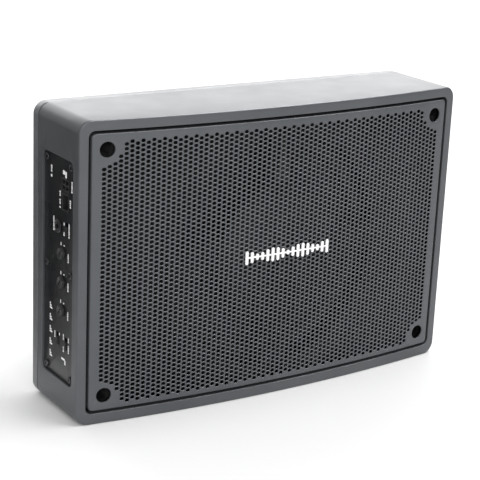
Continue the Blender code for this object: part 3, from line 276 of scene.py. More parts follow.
@dataclass(frozen=True)
class Finish:
    """One finish: its colours, its gloss and the pattern of its surface."""

    name: str
    slot: str
    colour: tuple[float, float, float]
    tone: tuple[float, float, float]
    roughness: float
    metallic: float = 0.0
    spread: float = 0.06
    grain: float = 900.0
    relief: float = 0.05
    wear: float = 0.25
    dust: float = 0.03
    coat: float = 0.0
    specular: float = 0.5
    pattern: Pattern = Pattern.GRAIN
    stretch: tuple[float, float, float] = (1.0, 1.0, 1.0)

    def relief_height(self, nodes: Nodes, grain: bpy.types.NodeSocket) -> bpy.types.NodeSocket:
        """The height that the bump reads, from the pattern of the finish.

        Args:
            nodes: the material's wiring.
            grain: the fine grain's height.

        Returns:
            The height socket.
        """
        place = nodes.add("ShaderNodeTexCoord").outputs["Object"]
        if self.pattern is Pattern.BRUSHED:
            names = ("Along X", "Along Y", "Along Z")
            group = nodes.add("ShaderNodeGroup", node_tree=EFFECTS.lines)
            for name, value in zip(names, self.stretch):
                group.inputs[name].default_value = value
            return group.outputs["Height"]
        if self.pattern is Pattern.PAPER:
            fibres = nodes.add("ShaderNodeMapping", {"Vector": place, "Scale": FIBRES})
            return nodes.maths("ADD", nodes.noise(fibres.outputs[0], 1.0, 6.0), grain)
        if self.pattern is Pattern.WEAVE:
            turned = nodes.add(
                "ShaderNodeMapping", {"Vector": place, "Rotation": (0, math.radians(45), 0)}
            ).outputs[0]
            threads = [
                nodes.add(
                    "ShaderNodeTexWave",
                    {"Vector": turned, "Scale": THREADS, "Distortion": 0.4},
                    bands_direction=direction,
                ).outputs[1]
                for direction in ("X", "Z")
            ]
            return nodes.maths("MAXIMUM", *threads)
        if self.pattern is Pattern.WOUND:
            values = {"Vector": place, "Scale": WIRE_TURNS}
            turns = nodes.add("ShaderNodeTexWave", values, bands_direction="Y").outputs[1]
            return nodes.maths("MULTIPLY_ADD", grain, 0.2, turns)
        return grain

    def material(self) -> bpy.types.Material:
        """Build the finish's material, or give back the one that was built before.

        Returns:
            The material.
        """
        label = f"{self.name}_finish"
        found = bpy.data.materials.get(label)
        if found:
            return found
        material = bpy.data.materials.new(label)
        material.use_nodes = True
        nodes = Nodes(material.node_tree)
        shader = material.node_tree.nodes["Principled BSDF"]
        grain = nodes.add("ShaderNodeGroup", node_tree=EFFECTS.grain)
        grain.inputs["Scale"].default_value = self.grain
        wear = nodes.add("ShaderNodeGroup", node_tree=EFFECTS.wear)
        wear.inputs["Amount"].default_value = self.wear
        dust = nodes.add("ShaderNodeGroup", node_tree=EFFECTS.dust)
        dust.inputs["Amount"].default_value = self.dust
        height = self.relief_height(nodes, grain.outputs["Height"])

        base = nodes.mix(grain.outputs["Tone"], (*self.colour, 1), (*self.tone, 1))
        if self.pattern is Pattern.BOARD:
            place = nodes.add("ShaderNodeTexCoord").outputs["Object"]
            tracks = nodes.add(
                "ShaderNodeTexVoronoi", {"Vector": place, "Scale": TRACKS}, distance="CHEBYCHEV"
            ).outputs[0]
            base = nodes.mix(nodes.steps(tracks, 0.45, 0.55), base, TRACK_COLOUR)
        pale = tuple(min(1.0, 1.8 * c + 0.04) for c in self.colour)
        base = nodes.mix(wear.outputs["Mask"], base, (*pale, 1))
        base = nodes.mix(dust.outputs["Mask"], base, DUST_COLOUR)
        rough = nodes.maths("MULTIPLY_ADD", grain.outputs["Tone"], self.spread, self.roughness)
        rough = nodes.maths("MULTIPLY_ADD", dust.outputs["Mask"], 1.5, rough)
        bump = nodes.add(
            "ShaderNodeBump", {"Height": height, "Strength": self.relief, "Distance": BUMP_HEIGHT}
        )
        links = material.node_tree.links
        links.new(base, shader.inputs["Base Color"])
        links.new(rough, shader.inputs["Roughness"])
        links.new(bump.outputs[0], shader.inputs["Normal"])
        shader.inputs["Metallic"].default_value = self.metallic
        shader.inputs["Coat Weight"].default_value = self.coat
        shader.inputs["Coat Roughness"].default_value = 0.2
        shader.inputs["Specular IOR Level"].default_value = self.specular
        return material


CAST = Finish("cast_coat", "cast_shell", (0.078, 0.083, 0.090), (0.094, 0.099, 0.106), 0.34, 0.35,
              grain=1100.0, relief=0.10, wear=0.35)
# The back shell's coat is the cast coat made lighter: painted light that stands in for the brighter sheen
# along the back shell's rounded strip.
COVER_PAINTED_LIGHT = Finish("cover_coat_painted_light", "cast_shell", (0.125, 0.130, 0.137), (0.145, 0.150, 0.157), 0.34, 0.35,
               grain=1100.0, relief=0.10, wear=0.35)
# The inner coat is the cast coat made near-black: painted shade for the baffle, guard and screw wells
# behind the grille, and for the inside of the back shell.
INSIDE_PAINTED_SHADE = Finish("inner_coat_painted_shade", "cast_shell", (0.006, 0.006, 0.007), (0.010, 0.010, 0.011), 0.55,
                grain=1100.0, relief=0.10, wear=0.1, dust=0.01, specular=0.15)
SHEET = Finish("grille_coat", "grille_sheet", (0.080, 0.085, 0.092), (0.094, 0.099, 0.107), 0.36, 0.35,
               grain=1300.0, relief=0.08, wear=0.5)
MARK = Finish("white_mark", "mark", (0.88, 0.88, 0.88), (0.93, 0.93, 0.93), 0.35, wear=0.0, dust=0.01)
PANEL = Finish("panel_plastic", "panel_sheet", (0.008, 0.009, 0.010), (0.012, 0.013, 0.014), 0.26,
               grain=1500.0, relief=0.10, wear=0.2)
BLACK = Finish("black_plastic", "black_plastic", (0.012, 0.012, 0.013), (0.022, 0.022, 0.023), 0.42,
               grain=1200.0, relief=0.15)
KNOB = Finish("knob_plastic", "knob_plastic", (0.022, 0.023, 0.024), (0.030, 0.031, 0.032), 0.38,
              grain=1600.0, relief=0.10, wear=0.6)
STEEL = Finish("plated_steel", "plated_steel", (0.55, 0.56, 0.58), (0.64, 0.65, 0.66), 0.24, 1.0,
               relief=0.12, pattern=Pattern.BRUSHED, stretch=(1500.0, 90.0, 1500.0))
DARK_STEEL = Finish("dark_steel", "dark_steel", (0.055, 0.056, 0.060), (0.080, 0.081, 0.086), 0.30, 0.9,
                    grain=700.0, relief=0.15, wear=0.5)
ALUMINIUM = Finish("aluminium", "aluminium", (0.68, 0.69, 0.70), (0.76, 0.77, 0.78), 0.30, 1.0,
                   relief=0.15, pattern=Pattern.BRUSHED, stretch=(70.0, 2200.0, 2200.0))
RUBBER = Finish("rubber", "rubber", (0.007, 0.007, 0.007), (0.011, 0.011, 0.011), 0.62, spread=0.12,
                grain=800.0, relief=0.20, wear=0.1, specular=0.3)
PAPER = Finish("cone_paper", "cone_paper", (0.007, 0.007, 0.008), (0.011, 0.011, 0.013), 0.70,
               spread=0.14, grain=600.0, relief=0.35, wear=0.1, specular=0.25, pattern=Pattern.PAPER)
BOARD = Finish("board_lacquer", "board", (0.012, 0.095, 0.038), (0.018, 0.120, 0.050), 0.28,
               grain=500.0, relief=0.08, coat=0.3, pattern=Pattern.BOARD)
FERRITE = Finish("ferrite", "ferrite", (0.040, 0.040, 0.042), (0.062, 0.062, 0.065), 0.55, spread=0.15,
                 grain=450.0, relief=0.30, wear=0.4)
COPPER = Finish("enamelled_copper", "copper", (0.62, 0.25, 0.11), (0.75, 0.36, 0.18), 0.28, 1.0,
                relief=0.60, pattern=Pattern.WOUND)
CLOTH = Finish("treated_cloth", "cloth", (0.48, 0.35, 0.17), (0.60, 0.46, 0.24), 0.80, grain=700.0,
               relief=0.60, wear=0.0, pattern=Pattern.WEAVE)
RED = Finish("red_insulation", "red_wire", (0.42, 0.020, 0.018), (0.52, 0.035, 0.030), 0.42,
             grain=900.0, relief=0.10)


# ---------------------------------------------------------------- surfaces


def grid_faces(rows: int, columns: int, wrap_rows: bool, wrap_columns: bool) -> Faces:
    """The quads of a grid of points stored row by row.

    Args:
        rows: how many rows of points.
        columns: how many points in a row.
        wrap_rows: whether the last row joins the first.
        wrap_columns: whether the last point of a row joins its first.

    Returns:
        (n, 4) point numbers.
    """
    r = np.arange(rows if wrap_rows else rows - 1)[:, None]
    c = np.arange(columns if wrap_columns else columns - 1)[None, :]
    r_next, c_next = (r + 1) % rows, (c + 1) % columns
    corners = (r * columns + c, r * columns + c_next, r_next * columns + c_next, r_next * columns + c)
    return np.stack([np.broadcast_to(x, (r.size, c.size)) for x in corners], -1).reshape(-1, 4)


def soften(profile: Sequence, radius: float, steps: int = 4, closed: bool = True) -> Points:
    """Round the corners of a profile.

    Each corner C becomes a quadratic curve (1-t)^2 A + 2t(1-t) C + t^2 B, with A and B on its two
    sides, a radius away or less than half the side's length.

    Args:
        profile: (n, 2) corners.
        radius: how far from the corner the curve starts.
        steps: pieces in each rounding.
        closed: whether the last corner joins the first. An open profile keeps its ends.

    Returns:
        (m, 2) points.
    """
    corners = np.asarray(profile, float)
    before, after = np.roll(corners, 1, 0) - corners, np.roll(corners, -1, 0) - corners
    run_in, run_out = (np.linalg.norm(x, axis=1, keepdims=True) for x in (before, after))
    start = corners + before * np.minimum(radius / run_in, 0.45)
    end = corners + after * np.minimum(radius / run_out, 0.45)
    t = np.linspace(0, 1, steps + 1)[None, :, None]
    curve = (1 - t) ** 2 * start[:, None] + 2 * t * (1 - t) * corners[:, None] + t**2 * end[:, None]
    if closed:
        return curve.reshape(-1, 2)
    return np.vstack([corners[:1], curve[1:-1].reshape(-1, 2), corners[-1:]])


def band(line: Sequence, sheet: float) -> Points:
    """The closed profile of a sheet that follows a line: the line moved to both sides of itself.

    Args:
        line: (n, 2) points of radius and height.
        sheet: the sheet's thickness.

    Returns:
        (2n, 2) points.
    """
    path = np.asarray(line, float)
    run = np.gradient(path, axis=0)
    normal = np.stack([-run[:, 1], run[:, 0]], 1) / np.linalg.norm(run, axis=1, keepdims=True)
    return np.vstack([path + normal * sheet / 2, (path - normal * sheet / 2)[::-1]])


def turned(profile: Points, steps: int, centre: Vector, axis: str, closed: bool = True) -> Surface:
    """A profile of (radius, height) turned about an axis.

    Point(u, v) = centre + radius(u) (cos v, sin v) across the axis + height(u) along it.

    Args:
        profile: (n, 2) points. An open one starts and ends on the axis.
        steps: points around the axis.
        centre: where height 0 is.
        axis: "Y" for +Y, or "-X".
        closed: whether the profile's end joins its start.

    Returns:
        The points and faces.
    """
    around = np.linspace(0, 2 * math.pi, steps, endpoint=False)
    across, height = profile[:, :1], np.repeat(profile[:, 1:], steps, 1)
    first, second = across * np.cos(around), across * np.sin(around)
    order = (first, height, second) if axis == "Y" else (-height, first, second)
    points = np.stack(order, -1).reshape(-1, 3) + np.array(centre)
    return points, [grid_faces(len(profile), steps, closed, True)]


def boxes(low: Points, high: Points) -> Surface:
    """Many boxes at once, from their lowest and highest corners.

    Args:
        low: (n, 3) lowest corners.
        high: (n, 3) highest corners.

    Returns:
        The points and faces, eight points and six faces a box.
    """
    pick = np.array([[i & 1, i >> 1 & 1, i >> 2 & 1] for i in range(8)])
    points = np.where(pick[None], high[:, None], low[:, None]).reshape(-1, 3)
    sides = np.array([[0, 2, 3, 1], [4, 5, 7, 6], [0, 1, 5, 4], [2, 6, 7, 3], [0, 4, 6, 2], [1, 3, 7, 5]])
    faces = (np.arange(len(low))[:, None, None] * 8 + sides[None]).reshape(-1, 4)
    return points, [faces]


def merged(*surfaces: Surface) -> Surface:
    """Several surfaces as one list of points and faces.

    Args:
        surfaces: the surfaces, in order.

    Returns:
        The points and faces of them all.
    """
    points, faces, offset = [], [], 0
    for some_points, some_faces in surfaces:
        points.append(some_points)
        faces += [f + offset for f in some_faces]
        offset += len(some_points)
    return np.vstack(points), faces


def make_mesh(name: str, surface: Surface) -> bpy.types.Mesh:
    """Put a surface in a mesh, its doubled points joined and its faces outwards.

    Args:
        name: the mesh's name.
        surface: its points and faces. It has to be shut, so that its volume says which way they look.

    Returns:
        The mesh.
    """
    points, faces = surface
    mesh = bpy.data.meshes.new(name)
    rows = [row for block in faces for row in block.tolist()]
    mesh.from_pydata(points.tolist(), [], rows)
    shape = bmesh.new()
    shape.from_mesh(mesh)
    bmesh.ops.remove_doubles(shape, verts=shape.verts, dist=MERGE)
    loose = [v for v in shape.verts if not v.link_faces]
    bmesh.ops.delete(shape, geom=loose, context="VERTS")
    if shape.calc_volume(signed=True) < 0:
        bmesh.ops.reverse_faces(shape, faces=shape.faces)
    shape.to_mesh(mesh)
    shape.free()
    return mesh


def put_in(name: str, data: object) -> bpy.types.Object:
    """A new object in the scene, with its data.

    Args:
        name: the object's name.
        data: its mesh, light or camera.

    Returns:
        The object.
    """
    obj = bpy.data.objects.new(name, data)
    bpy.context.scene.collection.objects.link(obj)
    return obj


def merged_copy(node: str) -> bpy.types.Object:
    """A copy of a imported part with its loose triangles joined, to be cut and used in a piece.

    Args:
        node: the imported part.

    Returns:
        The copy.
    """
    mesh = bpy.data.objects[node].data.copy()
    mesh.materials.clear()
    shape = bmesh.new()
    shape.from_mesh(mesh)
    bmesh.ops.remove_doubles(shape, verts=shape.verts, dist=MERGE)
    shape.to_mesh(mesh)
    shape.free()
    return put_in(f"{node}_copy", mesh)


def helper(name: str, surface: Surface) -> bpy.types.Object:
    """An object that only cuts or joins another, to be removed after it is used."""
    return put_in(name, make_mesh(name, surface))


def combine(target: bpy.types.Object, others: Sequence[bpy.types.Object], operation: str) -> bpy.types.Mesh:
    """Cut, join or intersect a helper with others, and keep only the resulting mesh.

    Args:
        target: the helper that is worked on. It is removed.
        others: what it is combined with. They are removed too.
        operation: DIFFERENCE, UNION or INTERSECT.

    Returns:
        The mesh of the result.
    """
    for other in others:
        modifier = target.modifiers.new(other.name, "BOOLEAN")
        modifier.operation = operation
        modifier.solver = "MANIFOLD"
        modifier.object = other
    graph = bpy.context.evaluated_depsgraph_get()
    mesh = bpy.data.meshes.new_from_object(target.evaluated_get(graph))
    for obj in (target, *others):
        bpy.data.objects.remove(obj)
    return mesh


@dataclass(frozen=True)
class Outline:
    """A rectangle with round corners, across and up."""

    half: float
    low: float
    high: float
    radius: float

    def inset(self, gap: float) -> "Outline":
        """The same outline moved inwards by a gap, or outwards by a negative one."""
        radius = max(self.radius - gap, 0.3 * MM)
        return Outline(self.half - gap, self.low + gap, self.high - gap, radius)

    def points(self, corner: int = 12, across: int = 40, up: int = 8) -> Points:
        """The outline's points, counter-clockwise from the right side's foot.

        Each corner is centre + radius (cos a, sin a), and each side is a straight line.

        Args:
            corner: pieces in each corner.
            across: pieces in the top and the bottom.
            up: pieces in each side.

        Returns:
            (n, 2) points.
        """
        r = self.radius
        centres = np.array(
            [(self.half - r, self.high - r), (r - self.half, self.high - r),
             (r - self.half, self.low + r), (self.half - r, self.low + r)]
        )
        angle = (np.arange(4)[:, None] + np.linspace(0, 1, corner + 1)[None]) * QUARTER
        arcs = centres[:, None] + r * np.stack([np.cos(angle), np.sin(angle)], -1)
        starts = np.roll(arcs[:, 0], -1, 0)
        parts = []
        for quarter, count in enumerate((across, up, across, up)):
            share = np.linspace(0, 1, count + 1)[1:-1, None]
            parts += [arcs[quarter], arcs[quarter, -1] * (1 - share) + starts[quarter] * share]
        return np.vstack(parts)

    def towards(self, other: "Outline", share: float) -> "Outline":
        """The outline a share of the way to another one."""
        mixed = [a + (b - a) * share for a, b in zip(self.values(), other.values())]
        return Outline(*mixed)

    def values(self) -> tuple[float, float, float, float]:
        """The four sizes in order."""
        return self.half, self.low, self.high, self.radius


Depth = Callable[[np.ndarray], np.ndarray]


def bowed(spots: Points, depth: Depth) -> Points:
    """Points across and up, laid on a depth."""
    return np.stack([spots[:, 0], depth(spots[:, 0]), spots[:, 1]], -1)


def ring(outline: Outline, depth: Depth) -> Points:
    """An outline carried to the depth that a function gives at each place on X."""
    return bowed(outline.points(), depth)


def standing(outline: Outline, x: float, y: float) -> Points:
    """An outline stood across the left end at X, its middle at Y."""
    spots = outline.points(12, 6, 12)
    return np.stack([np.full(len(spots), x), spots[:, 0] + y, spots[:, 1]], -1)


def quarter_round(radius: float, steps: int) -> list[tuple[float, float]]:
    """A quarter of a circle as (way in, way on): radius (1 - cos a), radius (1 - sin a)."""
    angles = np.linspace(0, QUARTER, steps)
    return [(radius * (1 - math.cos(a)), radius * (1 - math.sin(a))) for a in angles]


def joined_loops(first: Faces, second: Faces) -> Faces:
    """The quads between loops of point numbers and the loops inside them."""
    stacked = [first, np.roll(first, -1, 1), np.roll(second, -1, 1), second]
    return np.stack(stacked, -1).reshape(-1, 4)


def tube_of(rings: Sequence[Points], loop: bool) -> Surface:
    """Rings of equal count joined one to the next.

    Args:
        rings: the rings of points.
        loop: True joins the last ring to the first, and False caps both ends flat.

    Returns:
        The points and faces.
    """
    count = len(rings[0])
    faces = [grid_faces(len(rings), count, loop, True)]
    if not loop:
        first = np.arange(count)[::-1]
        last = (len(rings) - 1) * count + np.arange(count)
        faces += [first[None], last[None]]
    return np.vstack(rings), faces


# ---------------------------------------------------------------- pieces


@dataclass
class Piece:
    """A new piece: its mesh, its finish and what it stands for."""

    name: str
    mesh: bpy.types.Mesh
    finish: Finish
    body: str | None = "cabinet"
    stands_for: tuple[str, ...] = ()
    sharp: float = 32.0

    def place(self) -> bpy.types.Object:
        """Put the piece in the scene, ride it on its body and report it.

        Returns:
            The piece's object.
        """
        obj = put_in(self.name, self.mesh)
        self.mesh.materials.clear()
        self.mesh.materials.append(self.finish.material())
        self.mesh.shade_smooth()
        self.mesh.set_sharp_from_angle(angle=math.radians(self.sharp))
        if self.body:
            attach(obj, self.body)
        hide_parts(*self.stands_for)
        LOG.info("%s: %d faces, %s", self.name, len(self.mesh.polygons), self.finish.name)
        return obj


def place_surface(name: str, surface: Surface, finish: Finish, node: str) -> None:
    """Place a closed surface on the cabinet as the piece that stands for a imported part."""
    Piece(name, make_mesh(name, surface), finish, stands_for=(node,)).place()


def dress(node: str, finish: Finish, bevel: float = 0.0) -> None:
    """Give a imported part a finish, and break its sharp edges where a width is given.

    Args:
        node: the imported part.
        finish: the finish it gets.
        bevel: the width of the broken edge, or 0 for none.
    """
    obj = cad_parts[node]
    obj.data.materials.clear()
    obj.data.materials.append(finish.material())
    if bevel:
        weld = obj.modifiers.new("weld", "WELD")
        weld.merge_threshold = MERGE
        edge = obj.modifiers.new("broken_edge", "BEVEL")
        edge.width = bevel
        edge.segments = 2
        edge.limit_method = "ANGLE"
        edge.angle_limit = math.radians(40)
        edge.use_clamp_overlap = True
        edge.harden_normals = True
    LOG.info("%s keeps its packed shape, %s", node, finish.name)


def middle(node: str) -> Vector:
    """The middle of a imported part's box."""
    low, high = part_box(node)
    return (low + high) / 2


@dataclass
class Form:
    """The outer form that the shells, the grille and the mark share."""

    low: Vector
    high: Vector
    bow: float = 12 * MM
    corner: float = 10 * MM

    @property
    def half(self) -> float:
        """Half the cabinet's width."""
        return self.high.x

    @property
    def outline(self) -> Outline:
        """The cabinet's outline seen from the front."""
        return Outline(self.half, self.low.z, self.high.z, self.corner)

    def front(self, gap: float = 0.0) -> Depth:
        """How far forward the bowed front stands at X, moved back by a gap.

        Y = front + R - sqrt(R^2 - X^2) + gap, where R is the radius of the arc with this rise.
        """
        radius = (self.half**2 + self.bow**2) / (2 * self.bow)
        return lambda x: self.low.y + radius - np.sqrt(radius**2 - x * x) + gap

    def between(self, gap: float, y: float, share: float) -> Depth:
        """A share of the way from a flat depth to the bowed front moved back by a gap."""
        front = self.front(gap)
        return lambda x: y + (front(x) - y) * share


def flat(y: float) -> Depth:
    """The same depth everywhere."""
    return lambda x: np.full_like(x, y)


@dataclass
class Cabinet:
    """The two cast shells, the seal between them and the screws that close them."""

    form: Form
    edge: float = 1.5 * MM
    groove_edge: float = 0.6 * MM
    seam_edge: float = 0.45 * MM
    cover_edge: float = 2.6 * MM
    skin: float = 2.4 * MM
    core: float = 2.0 * MM
    recess_corner: float = 5.0 * MM
    recess_depth: float = 6.0 * MM
    under_ledge: float = 0.5 * MM
    ledge_slope: tuple[float, float] = (1.0 * MM, 3.0 * MM)
    guard_inset: float = 2.0 * MM
    panel_gap: float = 0.3 * MM
    cover_gap: float = 0.3 * MM
    cover_wall: float = 2.0 * MM
    field_inset: float = 14.0 * MM
    field_corner: float = 6.0 * MM
    field_round: tuple[float, float] = (0.8 * MM, 0.6 * MM)
    boss_inset: float = 1.5 * MM
    seal_inset: float = 1.1 * MM
    seal_wide: float = 1.95 * MM
    bezel_side: float = 7.6 * MM
    bezel_top: float = 7.8 * MM
    bezel_bottom: float = 8.6 * MM
    panel_edge: float = 0.45 * MM
    rounding: int = 6

    def recess(self) -> Outline:
        """The outline of the recess that the grille sits in.

        Returns:
            The outline.
        """
        outer = self.form.outline
        return Outline(
            outer.half - self.bezel_side, outer.low + self.bezel_bottom,
            outer.high - self.bezel_top, self.recess_corner,
        )

    def housing_skin(self) -> Surface:
        """The front shell's skin: a profile carried round the outline.

        The profile runs forward along the side, over a quarter-round edge, across the bowed bezel,
        over a smaller edge, down the groove's wall and back inside the shell's own thickness.

        Returns:
            The points and faces of a closed skin.
        """
        form, outer, recess = self.form, self.form.outline, self.recess()
        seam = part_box("front_housing")[1].y
        rings = [ring(outer.inset(self.seam_edge), flat(seam))]
        for share in (0.0, 0.34, 0.67):
            rings.append(ring(outer, form.between(self.edge, seam - self.seam_edge, share)))
        for inset, back in quarter_round(self.edge, self.rounding + 1):
            rings.append(ring(outer.inset(inset), form.front(back)))
        lip_from, lip_to = outer.inset(self.edge), recess.inset(-self.groove_edge)
        rings += [ring(lip_from.towards(lip_to, share), form.front()) for share in (0.33, 0.66)]
        for back, out in quarter_round(self.groove_edge, self.rounding + 1):
            rings.append(ring(recess.inset(-out), form.front(back)))
        inner = outer.inset(self.skin)
        floor = self.recess_depth + self.under_ledge
        out, fall = self.ledge_slope
        rings += [
            ring(recess, form.front(floor)), ring(recess.inset(-out), form.front(floor + out)),
            ring(inner, form.front(floor + fall)), ring(inner, flat(seam)),
        ]
        return tube_of(rings, loop=True)

    def core_keeper(self) -> Surface:
        """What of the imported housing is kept: all behind the baffle's face, and the guard before it.

        Returns:
            The points and faces of the space that is kept.
        """
        form, recess = self.form, self.recess().inset(self.guard_inset)
        wide = form.outline.inset(self.core)
        step = self.recess_depth + 0.3 * MM
        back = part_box("front_housing")[1].y - 0.1 * MM
        rings = [
            ring(recess, flat(form.low.y - 10 * MM)), ring(recess, form.front(step)),
            ring(wide, form.front(step)), ring(wide, flat(back)),
        ]
        return tube_of(rings, loop=False)

    def panel_cutter(self) -> Surface:
        """The recess for the panel, flared at its mouth so that the edge left is quarter-round.

        Returns:
            The points and faces of the cutter.
        """
        low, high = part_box("control_panel")
        gap, edge, face = self.panel_gap, self.panel_edge, -self.form.half
        hole = Outline((high.y - low.y) / 2 + gap, low.z - gap, high.z + gap, self.recess_corner)
        stops = [(-2 * edge, face - 3 * MM), (-2 * edge, face - edge)]
        stops += [(-out, face + back) for back, out in quarter_round(edge, self.rounding + 1)]
        stops.append((0.0, high.x + gap))
        rings = [standing(hole.inset(inset), x, (low.y + high.y) / 2) for inset, x in stops]
        return tube_of(rings, loop=False)

    def make_housing(self) -> None:
        """The front shell: its smooth skin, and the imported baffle, guard, wells and ledge inside it."""
        body = helper("front_shell", self.housing_skin())
        skin = combine(body, [helper("panel_recess", self.panel_cutter())], "DIFFERENCE")
        keeper = helper("core_keeper", self.core_keeper())
        core = combine(merged_copy("front_housing"), [keeper], "INTERSECT")
        Piece("front_shell", skin, CAST, stands_for=("front_housing",)).place()
        # The baffle, guard and wells take the near-black coat: painted shade.
        Piece("baffle_and_guard", core, INSIDE_PAINTED_SHADE, stands_for=("front_housing",)).place()

    def cover_skin(self) -> Surface:
        """The back shell's skin, from inside its wall out round the edge to a sunk field at the back.

        Returns:
            The points and faces of a closed skin.
        """
        outer, back = self.form.outline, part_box("rear_cover")[1].y
        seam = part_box("cover_gasket")[1].y + self.cover_gap
        inner, wall = outer.inset(self.core), back - self.cover_wall
        rings = [
            ring(inner.inset(6 * MM), flat(wall)), ring(inner, flat(wall)), ring(inner, flat(seam)),
            ring(outer.inset(self.seam_edge), flat(seam)), ring(outer, flat(seam + self.seam_edge)),
        ]
        for inset, forward in quarter_round(self.cover_edge, self.rounding + 2):
            rings.append(ring(outer.inset(inset), flat(back - forward)))
        gap, (wide, deep) = self.field_inset, self.field_round
        sunk = Outline(outer.half - gap, gap, outer.high - gap, self.field_corner)
        rings.append(ring(outer.inset(self.cover_edge).towards(sunk, 0.5), flat(back)))
        for a in np.linspace(0, QUARTER, 4):
            rings.append(ring(sunk.inset(wide * math.sin(a)), flat(back - deep * (1 - math.cos(a)))))
        return tube_of(rings, loop=False)

    def make_cover(self) -> None:
        """The back shell: its smooth skin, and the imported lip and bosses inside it."""
        # The back shell takes the lighter coat: painted light for its brighter strip.
        place_surface("back_shell", self.cover_skin(), COVER_PAINTED_LIGHT, "rear_cover")
        inner = self.form.outline.inset(self.boss_inset)
        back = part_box("rear_cover")[1].y - self.boss_inset
        keeper = tube_of([ring(inner, flat(y)) for y in (0.0, back)], loop=False)
        core = combine(merged_copy("rear_cover"), [helper("cover_keeper", keeper)], "INTERSECT")
        # The bosses take the same near-black coat: painted shade.
        Piece("cover_bosses", core, INSIDE_PAINTED_SHADE, stands_for=("rear_cover",)).place()

    def make_seal(self) -> None:
        """The sealing band, a flat ring between two outlines."""
        low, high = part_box("cover_gasket")
        outer = self.form.outline.inset(self.seal_inset)
        inner = outer.inset(self.seal_wide)
        stops = ((outer, high.y), (outer, low.y), (inner, low.y), (inner, high.y))
        rings = [ring(outline, flat(y)) for outline, y in stops]
        place_surface("seal_band", tube_of(rings, loop=True), RUBBER, "cover_gasket")

    def build(self) -> None:
        """Make both shells, the seal and the closing screws."""
        self.make_housing()
        self.make_cover()
        self.make_seal()
        screw = ScrewForm(DARK_STEEL, Facing.FRONT, 2.6 * MM, 0.476)
        for number in range(1, 5):
            screw.stand_for(f"shell_screw_{number}")


class Facing(Enum):
    """Where a screw's head looks."""

    FRONT = "front"
    BACK = "back"
    LEFT = "left"


@dataclass
class ScrewForm:
    """A pan-head screw with a cross recess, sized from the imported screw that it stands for."""

    finish: Finish
    facing: Facing
    head: float
    shaft_share: float
    rim_share: float = 0.45
    thread_share: float = 0.08
    cross: tuple[float, float, float] = (0.58, 0.12, 0.5)
    threads: int = 12
    steps: int = 40

    def profile(self, radius: float, length: float) -> Points:
        """A screw's section as (radius, height), its head up and its seat at height 0.

        The head is a dome over a short rim: height = rim + rise cos(a) at radius R sin(a). The
        thread goes in and out by a share of the shaft's radius.

        Args:
            radius: the head's radius.
            length: the whole screw's length.

        Returns:
            (n, 2) points, from the top of the head to the tip.
        """
        shaft, foot, count = self.shaft_share * radius, self.head - length, 2 * self.threads
        sweep = np.linspace(0, 0.97 * QUARTER, 8)
        rise = self.rim_share + (1 - self.rim_share) * np.cos(sweep)
        dome = np.stack([radius * np.sin(sweep), self.head * rise], -1)
        ridge = shaft * (1 - self.thread_share + self.thread_share * np.cos(np.arange(count) * math.pi))
        thread = np.stack([ridge, np.linspace(-0.5 * shaft, foot + 1.4 * shaft, count)], -1)
        return np.vstack([dome, [(radius, 0.0), (shaft, 0.0)], thread, [(0.3 * shaft, foot), (0.0, foot)]])

    def cross_cutters(self, node: str, top: Vector, along: int, radius: float) -> list[bpy.types.Object]:
        """The two bars that cut the cross recess into the head's top.

        Args:
            node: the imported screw.
            top: the middle of the head's top.
            along: the screw's axis, 0 for X or 1 for Y.
            radius: the head's radius.

        Returns:
            The two bars.
        """
        arm, half, deep = (share * size for share, size in zip(self.cross, (radius, radius, self.head)))
        cutters, place = [], np.array(top)
        for index, sizes in enumerate(((arm, half), (half, arm))):
            reach = np.insert(np.array(sizes), along, deep)[None]
            cutters.append(helper(f"{node}_cross_{index}", boxes(place - reach, place + reach)))
        return cutters

    def stand_for(self, node: str) -> None:
        """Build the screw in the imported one's box.

        Args:
            node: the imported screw.
        """
        low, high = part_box(node)
        along = 0 if self.facing is Facing.LEFT else 1
        back = self.facing is Facing.BACK
        radius = (high.z - low.z) / 2
        seat, top = (low + high) / 2, (low + high) / 2
        seat[along] = high[along] - self.head if back else low[along] + self.head
        top[along] = high[along] if back else low[along]
        profile = self.profile(radius, (high - low)[along])
        if self.facing is Facing.FRONT:
            profile = profile * (1, -1)
        axis = "-X" if self.facing is Facing.LEFT else "Y"
        body = helper(node, turned(profile, self.steps, seat, axis, closed=False))
        mesh = combine(body, self.cross_cutters(node, top, along, radius), "DIFFERENCE")
        Piece(f"{node}_threaded", mesh, self.finish, stands_for=(node,)).place()


